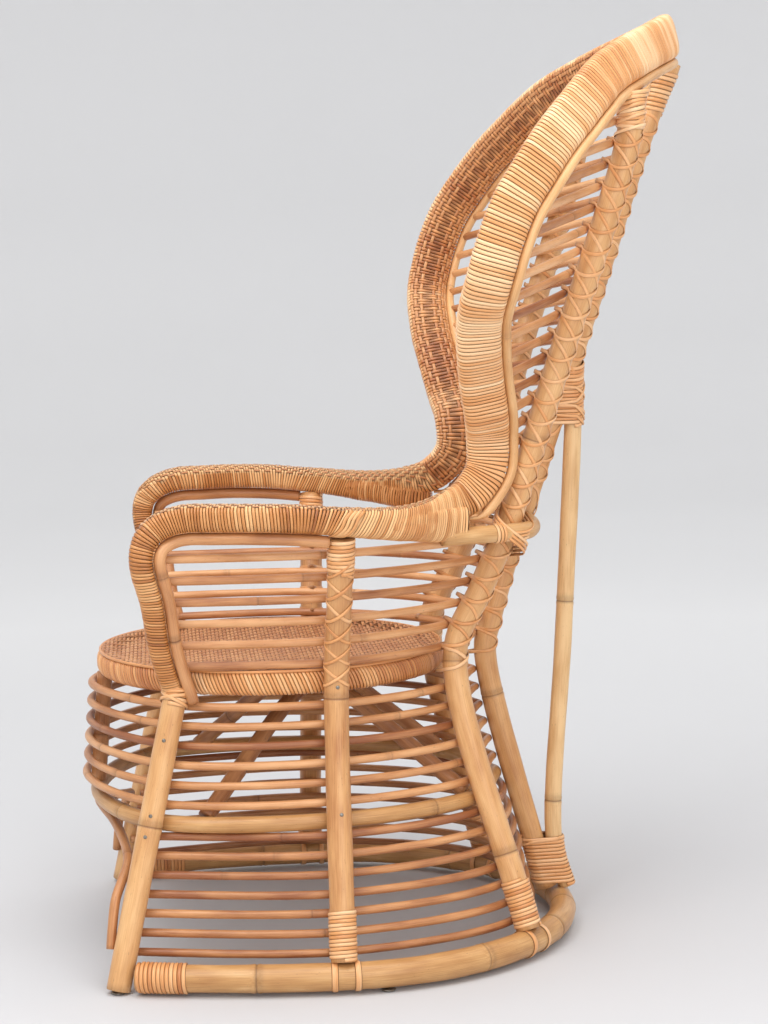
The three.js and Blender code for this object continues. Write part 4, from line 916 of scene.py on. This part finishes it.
def end_strands(rear):
    """Strands side by side that close the rear end of the arm's wrap."""
    line, inward, outside, depth, thick = [field[-1] for field in rear]
    face = tangents(rear[0])[-1]
    cap = Piece()
    share = np.linspace(-1, 1, 9)[:, None]
    for k in range(-5, 6):
        aside = 4.1 * k
        reach = (thick - 1.5) * (1 - abs(aside / (depth - 1)) ** 2.67) ** 0.375
        p = line + inward * aside + outside * share * reach + face * (1.5 - 1.4 * share ** 4)
        lay_strand(cap, p, face, 4.3, 1.3, 0.2 + 0.3 * (k % 3 - 1), offset=7.0 * k, edge=0.7)
    cap.build_both("arm_end_cap", SHADED_ARM_WRAP)


def wound_arms(name, node, rows, woven_at, seed, **more):
    """The same band wound on both sides; only the strands' tones and places differ."""
    for side, label in SIDES:
        there = tuple(v * (side, 1, 1) if v.ndim == 2 else v for v in rows)
        nodes = (f"{node}_{label}",) if node else ()
        wound_band(f"{name}_{label}", nodes, there, 4.1, woven_at, seed if side == 1 else seed + 1, material=SHADED_ARM_WRAP,
                   edge=0.7, **more)


def wrapped_bands():
    """The arms run on into the hood, so both wraps share the band's directions where they meet."""
    left = np.array(BAND, float)
    whole = band_rows(np.vstack([left, left[-2::-1] * ([-1, 1, 1] * 3 + [1, 1])]))
    count = len(whole[0])
    neck = int(np.argmin(np.linalg.norm(whole[0][:count // 2] - left[NECK, :3], axis=1)))
    arm = tuple(field[:neck + 2] for field in whole)
    hood = tuple(field[neck:count - neck] for field in whole)
    # The arms' woven top is made lighter: painted light from above.
    wound_arms("arm_wrap", "arm_band", arm, arm_weave, 3, slant=arm_slant, woven_tone=1.3)
    wound_band("hood_wrap", ("hood_rim",), hood, 5.3, even_weave(-math.pi / 2, 0.95), 5, lean=0.35, thickness=1.8,
               woven_tone=-0.9)
    post_ties(arm)
    rear = band_rows(ARM_END)
    end_strands(rear)
    wound_arms("arm_end_wrap", "", rear, even_weave(-math.pi / 2, 0.1), 13, leaders=1, power=0.75, slant=-2.5)


# ---------------------------------------------------------------- seat

def circle(a, radius, level, x=0.0, y=SEAT_MIDDLE):
    """Points at the angles round an upright line, which is the seat's middle unless given."""
    return np.stack([x + radius * np.cos(a), y + radius * np.sin(a), np.full_like(a, level)], 1)


def from_behind(count):
    """Angles all the way round, the first and last behind the seat."""
    return np.linspace(0, 2 * math.pi, count) + math.pi / 2


def seat_roll_wrap():
    a = from_behind(361)
    upward = np.tile([0, 0, 1.0], (len(a), 1))
    rows = (circle(a, 232, 393.5), upward, circle(a, 1.0, 0.0, 0, 0), np.full(len(a), 16.5), np.full(len(a), 13.0))
    wound_band("seat_edge_wrap", ("seat_roll",), rows, 5.0, even_weave(math.pi, 0.1), 8, steps=24, power=0.8, leaders=1,
               slant=-5.5, lean=-0.3, edge=0.65)


# Radius and height of the seat's top, from its middle out.
SEAT_TOP = ((0, 80, 160, 210, 219, 225, 232, 238, 241.5, 244.5),
            (401.2, 401.7, 403.3, 405.0, 407.6, 410.2, 411.0, 410.4, 408.4, 403.5))


def woven_seat():
    """Flat strips woven two over, two under, in the seat's round and over its rolled edge."""
    piece = Piece()
    pitch, radius = 5.6, 238.5
    n = int(radius / pitch)
    chance = random.Random(4)
    for way in (0, 1):
        for k in range(-n, n + 1):
            c = k * pitch
            reach = math.sqrt(radius ** 2 - c * c)
            if reach < 3 * pitch:
                continue
            q = np.arange(-int(reach / pitch * 2), int(reach / pitch * 2) + 1) * pitch / 2
            q = np.concatenate([[-reach], q, [reach]])
            over = lambda cell: np.where((cell + k) % 4 < 2, 1.0, -1.0) * (1 if way == 0 else -1)
            here = q / pitch
            wave = (over(np.floor(here + 1e-6).astype(int)) + over(np.ceil(here - 1e-6).astype(int))) / 2
            x, y = (q, np.full_like(q, c)) if way == 0 else (np.full_like(q, c), q)
            z = np.interp(np.hypot(x, y), *SEAT_TOP) + 0.6 * wave
            line = np.stack([x, y + SEAT_MIDDLE, z], 1)
            side = np.tile([0.0, 1.0, 0] if way == 0 else [1.0, 0, 0], (len(q), 1))
            top = np.cross(tangents(line), side)
            top *= np.sign(top[:, 2:3])
            # Strips darken where they pass under, and partly at the crossings: painted shade.
            add_strand(piece, line, side, top, pitch * 0.9, 0.6, chance.uniform(-0.3, 0.7), profile=FLAT, edge=0.6,
                       dark=np.where(wave > 0.5, 0.0, np.where(wave < -0.5, 0.55, 0.25)))
    piece.build("seat_woven_strips", WOVEN, "seat_weave", "seat_weave")
    board = Piece()
    a = turn_in(64)
    radii = (238.0, 236.0, 230.0, 222.0, 212.0, 160.0, 80.0, 0.5)
    verts = np.vstack([circle(a, r, np.interp(r, *SEAT_TOP) - 1.4) for r in radii])
    # The backing is darker so the gaps between strips look dark: painted shade.
    board.add(verts, grid_quads(len(radii), len(a)), verts, -0.4, 0.45)
    board.build("seat_backing", WOVEN, "seat_weave")
    edge = Piece()
    add_cane(edge, circle(from_behind(181), 239.6, 409.8), 2.1, 10, -0.3, (), 0.0)
    edge.build("seat_edge_cane", WRAP, "cane_wrap")


# ---------------------------------------------------------------- lashings and bindings

def pole_skin(line, out, radius):
    """Gives the place on a rising pole's skin and the direction off it, by height, angle from outside and lift."""
    fields = np.hstack([line, *faced_frame(line, out)])

    def skin(level, angle, lift):
        f = rows_at(level, line[:, 2], fields)
        r = unit(f[:, 3:6]) * np.cos(angle)[:, None] + unit(f[:, 6:9]) * np.sin(angle)[:, None]
        return f[:, :3] + r * (radius + lift)[:, None], r

    return skin


def tie(piece, skin, radius, plan, width, thick, tone, turn=1):
    """One strand over a pole's skin through the planned angles (degrees), heights and lifts."""
    plan = np.array(plan, float)
    plan[:, 0] = np.radians(plan[:, 0]) * radius
    run = smooth_line(plan, 3.2)
    at, face = skin(run[:, 1], run[:, 0] / radius * turn, run[:, 2])
    # The strand darkens past about 155 degrees, where it turns behind the rod: painted shade.
    lay_strand(piece, at, face, width, thick, tone, edge=0.45,
               dark=np.clip((np.abs(run[:, 0]) / radius - 2.7) * 1.6, 0, 0.6))


# Courses of the lashing strands: degrees round the pole, height as a share of the gap to the next rod, lift.
RISING = ((-180, 0, 12.6), (-158, 0, 0.9), (-130, -0.1, 0.3), (-100, -0.16, 0.2), (-67, -0.14, 0.2), (-40, -0.04, 0.4),
          (-15, 0.12, 1), (15, 0.3, 1), (50, 0.5, 1), (95, 0.7, 1), (150, 0.92, 0.7), (180, 1, 12.6))
FALLING = ((-180, 0.04, 12.6), (-158, 0, 0.5), (-130, -0.16, 0), (-100, -0.36, -0.2), (-67, -0.62, -0.2),
           (-40, -0.88, -0.2), (-15, -1.15, -0.2), (15, -1.42, -0.2), (50, -1.65, -0.2), (95, -1.82, 0),
           (150, -1.97, 0.4), (180, -2, 12.6))
CROSS_DOWN = ((-180, 0, 12.6), (-155, -0.02, 0.5), (-90, -0.08, 0), (-65, -0.12, 0), (-40, -0.23, 0), (-20, -0.36, 0),
              (0, -0.5, 0), (20, -0.64, 0), (40, -0.77, 0), (65, -0.88, 0), (90, -0.92, 0), (155, -0.98, 0.5),
              (180, -1, 12.6))
CROSSED = ((CROSS_DOWN, 1, 0.0), (CROSS_DOWN, -1, 1.3))


def lash_rods(piece, line, out, radius, levels, ways, width=5.2):
    """Crossed strands that tie each rod to the inner side of a pole."""
    skin = pole_skin(line, out, radius)
    top = line[:, 2].max() - 3
    for i, level in enumerate(levels):
        above = levels[i + 1] - level if i + 1 < len(levels) else level - levels[i - 1]
        below = level - levels[i - 1] if i else above
        for course, turn, raised in ways:
            plan = []
            for angle, share, lift in course:
                gap = above if share > 0 else below
                plan.append((angle, min(level + share * gap, top), lift + raised * math.exp(-(angle / 50.0) ** 2)))
            tie(piece, skin, radius, plan, width * random.uniform(0.9, 1.1), 1.3, random.uniform(-0.3, 0.5), turn)


def steady(low, high, steps, count):
    """One random value for each turn of a strand, held through the turn's steps."""
    turns = (count - 1) // steps + 2
    return np.repeat([random.uniform(low, high) for _ in range(turns)], steps)[:count]


def wind(piece, centre, out, radius, low, high, pitch, width, thick, tone, start=0.0, widen=0.0, slant=0.0, fan=0.0,
         fan_to=0.0):
    """Turns of a strand round a line between two lengths along it, the coil growing by widen towards its end."""
    turns = (high - low) / pitch
    steps = 22
    u = np.arange(int(turns * steps) + 1) / steps
    angle = 2 * math.pi * u + start
    s = low + u * pitch + slant * np.cos(angle) + fan * u / turns * np.cos(angle - fan_to)
    f = rows_at(s, lengths(centre), np.hstack([centre, *faced_frame(centre, out), tangents(centre)]))
    r = unit(f[:, 3:6]) * np.cos(angle)[:, None] + unit(f[:, 6:9]) * np.sin(angle)[:, None]
    lumps = np.convolve(np.pad(steady(-0.25, 0.35, steps, len(u)), 5, mode="edge"), np.ones(11) / 11, mode="valid")
    p = f[:, :3] + r * (radius + widen * u / turns + lumps)[:, None]
    run = tangents(p)
    top = unit(np.cross(run, unit(f[:, 9:12])))
    top = np.where(np.sum(top * r, axis=1, keepdims=True) < 0, -top, top)
    tones = tone + 0.3 * np.sin(u * 1.7) + steady(-0.3, 0.3, steps, len(u))
    add_strand(piece, p, np.cross(top, run), top, width, thick, tones, edge=0.7)


def round_both(piece, two, turn, level, lift, width, thick, tone):
    """A strand round two upright poles that stand side by side, by turn (whole turns), height and lift."""
    first, second, r1, r2 = two
    a, b = (rows_at(level, line[:, 2], line) for line in (first, second))
    e1 = unit((b - a) * (1, 1, 0))
    e2 = np.cross((0, 0, 1.0), e1)
    share = turn % 1.0
    angle = -math.pi / 2 + 2 * math.pi * share
    top = e1 * np.cos(angle)[:, None] + e2 * np.sin(angle)[:, None]
    far = (share < 0.5)[:, None]
    p = np.where(far, b, a) + top * (np.where(far, r2, r1) + np.broadcast_to(lift, turn.shape)[:, None])
    lay_strand(piece, p, top, width, thick, tone, edge=0.7)


BELT_STEPS = 28


def belt(piece, two, low, high, pitch, width, slant=0.0):
    """Turns side by side round two poles."""
    u = np.arange(int((high - low) / pitch * BELT_STEPS) + 1) / BELT_STEPS
    level = low + u * pitch + slant * np.cos(2 * math.pi * u)
    tones = 0.15 + 0.3 * np.sin(u * 2.1) + steady(-0.25, 0.25, BELT_STEPS, len(u))
    round_both(piece, two, u, level, 0.4, width, 2.0, tones)


def crossing_strand(piece, two, rows):
    """A strand laid slanting over a belt, from row to row of turn, height and lift."""
    rows = np.array(rows, float)
    u = np.arange(rows[0, 0], rows[-1, 0], 1 / BELT_STEPS)
    level, lift = (np.interp(u, rows[:, 0], rows[:, k]) for k in (1, 2))
    round_both(piece, two, u, level, lift, 4.8, 1.6, 0.3)


def bindings():
    for name, line, radius, out in (("side_post_binding", post_line, 16.6, POST_OUT),
                                    ("rear_stile_binding", stile_line, 17.1, STILE_OUT)):
        for side, label in SIDES:
            piece = Piece()
            wind(piece, line * (side, 1, 1), out * (side, 1, 1), radius, length_at(line, 44.5), length_at(line, 106),
                 5.0, 5.3, 1.9, 0.1, widen=0.5)
            piece.build(f"{name}_{label}_wrap", WRAP, "cane_wrap", f"{name}_{label}")
    front_of_ring = ring_of_base()[:60]
    for side, label in SIDES:
        piece = Piece()
        wind(piece, front_of_ring * (side, 1, 1), (0, 0, 1), 18.6, 3.0, 66.0, 5.5, 5.8, 2.0, -0.2)
        piece.build(f"foot_wrap_{label}", WRAP, "cane_wrap", f"foot_binding_{label}")
    heel = Piece()
    two = (centre_line, brace_line, 16.0, 12.5)
    belt(heel, two, 46, 118, 5.2, 5.5)
    crossing_strand(heel, two, ((0.2, 116, 1.0), (0.3, 108, 2.2), (0.8, 104, 2.2), (1.1, 116, 1.0)))
    heel.build("heel_wrap", WRAP, "cane_wrap", "centre_binding")
    top = Piece()
    two = (centre_line, longer(brace_line, 0, 2.0, 45.0), 16.6, 13.2)
    belt(top, two, 714, 800, 5.4, 5.7, slant=-6.0)
    for rows in (((-0.45, 790, 2.0), (-0.1, 770, 2.4), (0.3, 744, 2.6), (0.55, 724, 2.0)),
                 ((-0.45, 762, 2.0), (-0.1, 742, 2.4), (0.3, 722, 2.4), (0.6, 712, 2.0)),
                 ((0.4, 806, 2.0), (0.65, 780, 2.8), (0.95, 742, 2.8), (1.25, 714, 2.0)),
                 ((0.42, 786, 2.2), (0.7, 758, 3.0), (0.95, 728, 3.0), (1.2, 708, 2.0)),
                 ((-0.3, 716, 2.4), (0.05, 746, 2.8), (0.45, 786, 2.4))):
        crossing_strand(top, two, rows)
    top.build("brace_top_wrap", WRAP, "cane_wrap", "brace_binding")


def stile_lashing(arm_levels):
    piece = Piece()
    stile = longer(stile_line, 0.4, 3.2, 8.0)
    lash_rods(piece, stile, STILE_OUT, STILE_RADIUS, [row[1][2] for row in BACK_RODS],
              ((FALLING, 1, 0.0), (RISING, 1, 0.0)))
    lash_rods(piece, stile, STILE_OUT, STILE_RADIUS, arm_levels, CROSSED)
    # turns under the hood's rim, which follow the slant of its cane
    reach = longer(stile_line, 1.0, 8.0, 20.0)
    low, high = length_at(stile, 1112), lengths(stile)[-1]
    wind(piece, reach, STILE_OUT, 17.4, low, high + 1, 5.6, 5.6, 1.5, 0.2, slant=-1.0, fan=9.0, fan_to=0.57)
    wind(piece, reach, STILE_OUT, 18.6, low - 8, high - 10, 15.0, 4.8, 1.5, 0.4, start=2.0, slant=6.0)
    # the arm's rear pole tied where it passes the stile
    skin = pole_skin(stile, STILE_OUT, STILE_RADIUS)
    hoop_level = ARM_HOOP[0][2]
    for lean, raised in ((1, 0.0), (-1, 1.6)):
        course = ((-165, -27, 0.8), (-130, -21, 3), (-100, -13, 17), (-66, -4, 26.2 + raised), (-30, 5, 26.2 + raised),
                  (0, 13, 19 + raised), (28, 20, 7), (60, 25, 0.8), (110, 28, 0.5))
        for shift in (-5, 0, 5):
            plan = [(angle, hoop_level + lean * rise + shift, lift) for angle, rise, lift in course]
            tie(piece, skin, STILE_RADIUS, plan, 4.4, 1.4, random.uniform(-0.2, 0.5))
    piece.build_both("stile_lashing", WRAP)


def lashings():
    arm_levels = [row[0] for row in ARM_RODS]
    stile_lashing(arm_levels)
    middle = Piece()
    # the wrap of the brace's top takes the place of a few lashings
    levels = [z for z in arm_levels + [row[2][2] for row in BACK_RODS] if not 700 < z < 790]
    lash_rods(middle, centre_line, CENTRE_OUT, CENTRE_RADIUS, levels, CROSSED)
    wind(middle, centre_line, CENTRE_OUT, 16.4, length_at(centre_line, 1146), lengths(centre_line)[-1] - 2,
         6.4, 5.8, 1.6, 0.2, slant=2.0)
    middle.build("middle_stile_lashing", WRAP, "cane_wrap")
    arm = Piece()
    lash_rods(arm, post_line, POST_OUT, POST_RADIUS, arm_levels, CROSSED, width=4.8)
    wind(arm, post_line, POST_OUT, 16.9, length_at(post_line, 546), length_at(post_line, 590),
         5.4, 5.6, 1.7, 0.1, slant=2.0)
    arm.build_both("post_lashing", WRAP)
    # a few turns round the arm's rear pole, and crossed strands round the top of the leg
    collar = Piece()
    wind(collar, hoop_line, (0, 0, 1), 12.4, 78, 92, 5.2, 5.0, 1.5, 0.1)
    collar.build_both("arm_pole_collar", WRAP)
    knee = Piece()
    wind(knee, leg_line, LEG_OUT, 16.4, length_at(leg_line, 368), length_at(leg_line, 389),
         6.4, 6.0, 1.6, 0.1, slant=2.0)
    skin = pole_skin(leg_line, LEG_OUT, 17.4)
    for first, last, low, high in ((-140, 120, 366, 388), (140, -120, 366, 388), (-150, 90, 376, 390)):
        plan = [(first + (last - first) * k / 6, low + (high - low) * k / 6, 0.5) for k in range(7)]
        tie(knee, skin, 17.0, plan, 4.8, 1.5, 0.2)
    knee.build_both("leg_top_wrap", WRAP)


def foot_straps():
    """Flat strands that come down from the wraps and pass under the bottom ring."""
    turns = np.radians(np.linspace(-70, 290, 25))[:, None]
    for side, label in SIDES:
        piece = Piece()
        for degrees, width, tone in ((-3, 9.0, 0.1), (2, 8.5, 0.3), (48, 9.5, 0.1), (54, 8.0, 0.3)):
            out = heading(degrees)
            r = out * np.cos(turns) + np.array([0, 0, 1.0]) * np.sin(turns)
            pts = out * RING_RADIUS + (0, RING_MIDDLE, RING_LEVEL) + r * 18.9
            aside = np.cross(tangents(pts), r)
            add_strand(piece, pts * (side, 1, 1), aside * (side, 1, 1), r * (side, 1, 1), width, 1.3, tone)
        piece.build(f"ring_straps_{label}", WRAP, "cane_wrap")


def glides():
    profile = ((0.2, 0.05), (6.5, 0.0), (9.0, 0.5), (10.0, 1.6), (10.0, 2.6), (8.2, 3.4), (4.0, 3.9), (3.2, 4.2),
               (0.2, 4.2))
    a = turn_in(28)
    for place, x, y in (("front_left", 289.9, -382.96), ("front_right", -289.9, -382.96), ("side_left", 329.9, -32.6),
                        ("side_right", -329.9, -32.6), ("rear", 0, 249.15)):
        piece = Piece()
        verts = np.vstack([circle(a, r, z, x, y) for r, z in profile])
        piece.add(verts, grid_quads(len(profile), len(a)), verts, 0.0, 0.0)
        piece.build(f"glide_{place}_disc", STEEL, "glide_metal", f"glide_{place}")


# ---------------------------------------------------------------- making

base_rods()
arm_rods()
back_rods()
base_rings()
poles()
wrapped_bands()
seat_roll_wrap()
woven_seat()
bindings()
lashings()
foot_straps()
glides()


# ---------------------------------------------------------------- studio and camera

def pale_material():
    material, tree, shader = shaded("pale_backdrop")
    place = tree.nodes.new("ShaderNodeTexCoord").outputs["Object"]
    cloud = noise_of(tree, place, 0.7, (1, 1, 1))
    flat = tree.nodes.new("ShaderNodeVectorMath")
    flat.operation = "MULTIPLY"
    flat.inputs[1].default_value = (1.0, 1.0, 0.0)
    tree.links.new(place, flat.inputs[0])
    away = tree.nodes.new("ShaderNodeVectorMath")
    away.operation = "LENGTH"
    tree.links.new(flat.outputs["Vector"], away.inputs[0])
    wall = math_node(tree, "MULTIPLY_ADD", away.outputs["Value"], 0.42, -0.25, clamp=True)
    floor = mix_colour(tree, cloud, linear(203, 203, 205), linear(208, 208, 210))
    behind = mix_colour(tree, cloud, linear(234, 234, 235), linear(238, 238, 239))
    tree.links.new(mix_colour(tree, wall, floor, behind), shader["Base Color"])
    tree.links.new(math_node(tree, "MULTIPLY_ADD", cloud, 0.1, 0.8), shader["Roughness"])
    return material


def lamp(name, place, aim, width, height, power):
    data = bpy.data.lights.new(name, "AREA")
    data.shape = "RECTANGLE"
    data.size, data.size_y = width, height
    data.energy = power
    light = bpy.data.objects.new(name, data)
    light.location = place
    light.rotation_euler = (Vector(aim) - Vector(place)).to_track_quat("-Z", "Y").to_euler()
    bpy.context.collection.objects.link(light)


def studio():
    """A pale floor that turns up into a wall all round, an even white world and three soft lamps."""
    profile = ((4.0, 0.0), (6.0, 0.0), (7.2, 0.12), (8.1, 0.55), (8.7, 1.2), (9.0, 2.2), (9.1, 4.0), (9.1, 7.0))
    sides = 96
    verts, faces = [(0.0, 0.0, 0.0)], []
    for r, z in profile:
        for j in range(sides):
            a = 2 * math.pi * j / sides
            verts.append((r * math.cos(a), r * math.sin(a), z))
    for j in range(sides):
        k = (j + 1) % sides
        faces.append((0, 1 + j, 1 + k))
        for i in range(1, 1 + (len(profile) - 1) * sides, sides):
            faces.append((i + j, i + sides + j, i + sides + k, i + k))
    mesh = bpy.data.meshes.new("studio_floor")
    mesh.from_pydata(verts, [], faces)
    for face in mesh.polygons:
        face.use_smooth = True
    mesh.materials.append(pale_material())
    floor = bpy.data.objects.new("studio_floor", mesh)
    bpy.context.collection.objects.link(floor)

    world = bpy.data.worlds.new("studio_light")
    bpy.context.scene.world = world
    world.use_nodes = True
    back = world.node_tree.nodes["Background"].inputs
    back["Color"].default_value = (1.0, 1.0, 1.0, 1.0)
    back["Strength"].default_value = 0.92
    lamp("key_softbox", (2.0, -1.5, 2.7), (0, 0.1, 0.8), 1.5, 1.5, 32)
    lamp("fill_softbox", (2.9, 0.7, 1.3), (0, 0.1, 0.9), 2.0, 1.6, 24)
    lamp("top_softbox", (0.7, 0.0, 2.9), (0, 0.1, 0.8), 2.0, 2.0, 34)


def camera():
    """The camera fitted to the photo; its focal length is 2403.68 pixels of a picture 1024 high."""
    right = Vector((0.09562071, 0.99526076, -0.01768359))
    up = Vector((-0.1034449, 0.02760424, 0.99425206))
    back = Vector((0.9900282, -0.09324181, 0.10559418))
    data = bpy.data.cameras.new("photo_camera")
    data.sensor_fit = "VERTICAL"
    data.sensor_height = 36.0
    data.lens = 2403.68 / 1024 * data.sensor_height
    data.clip_end = 60
    eye = bpy.data.objects.new("photo_camera", data)
    turn = Matrix((right, up, back)).transposed().to_4x4()
    eye.matrix_world = Matrix.Translation((3.36615, -0.31323, 0.95082)) @ turn
    bpy.context.collection.objects.link(eye)
    bpy.context.scene.camera = eye


studio()
camera()
bpy.context.scene.view_settings.view_transform = "Standard"
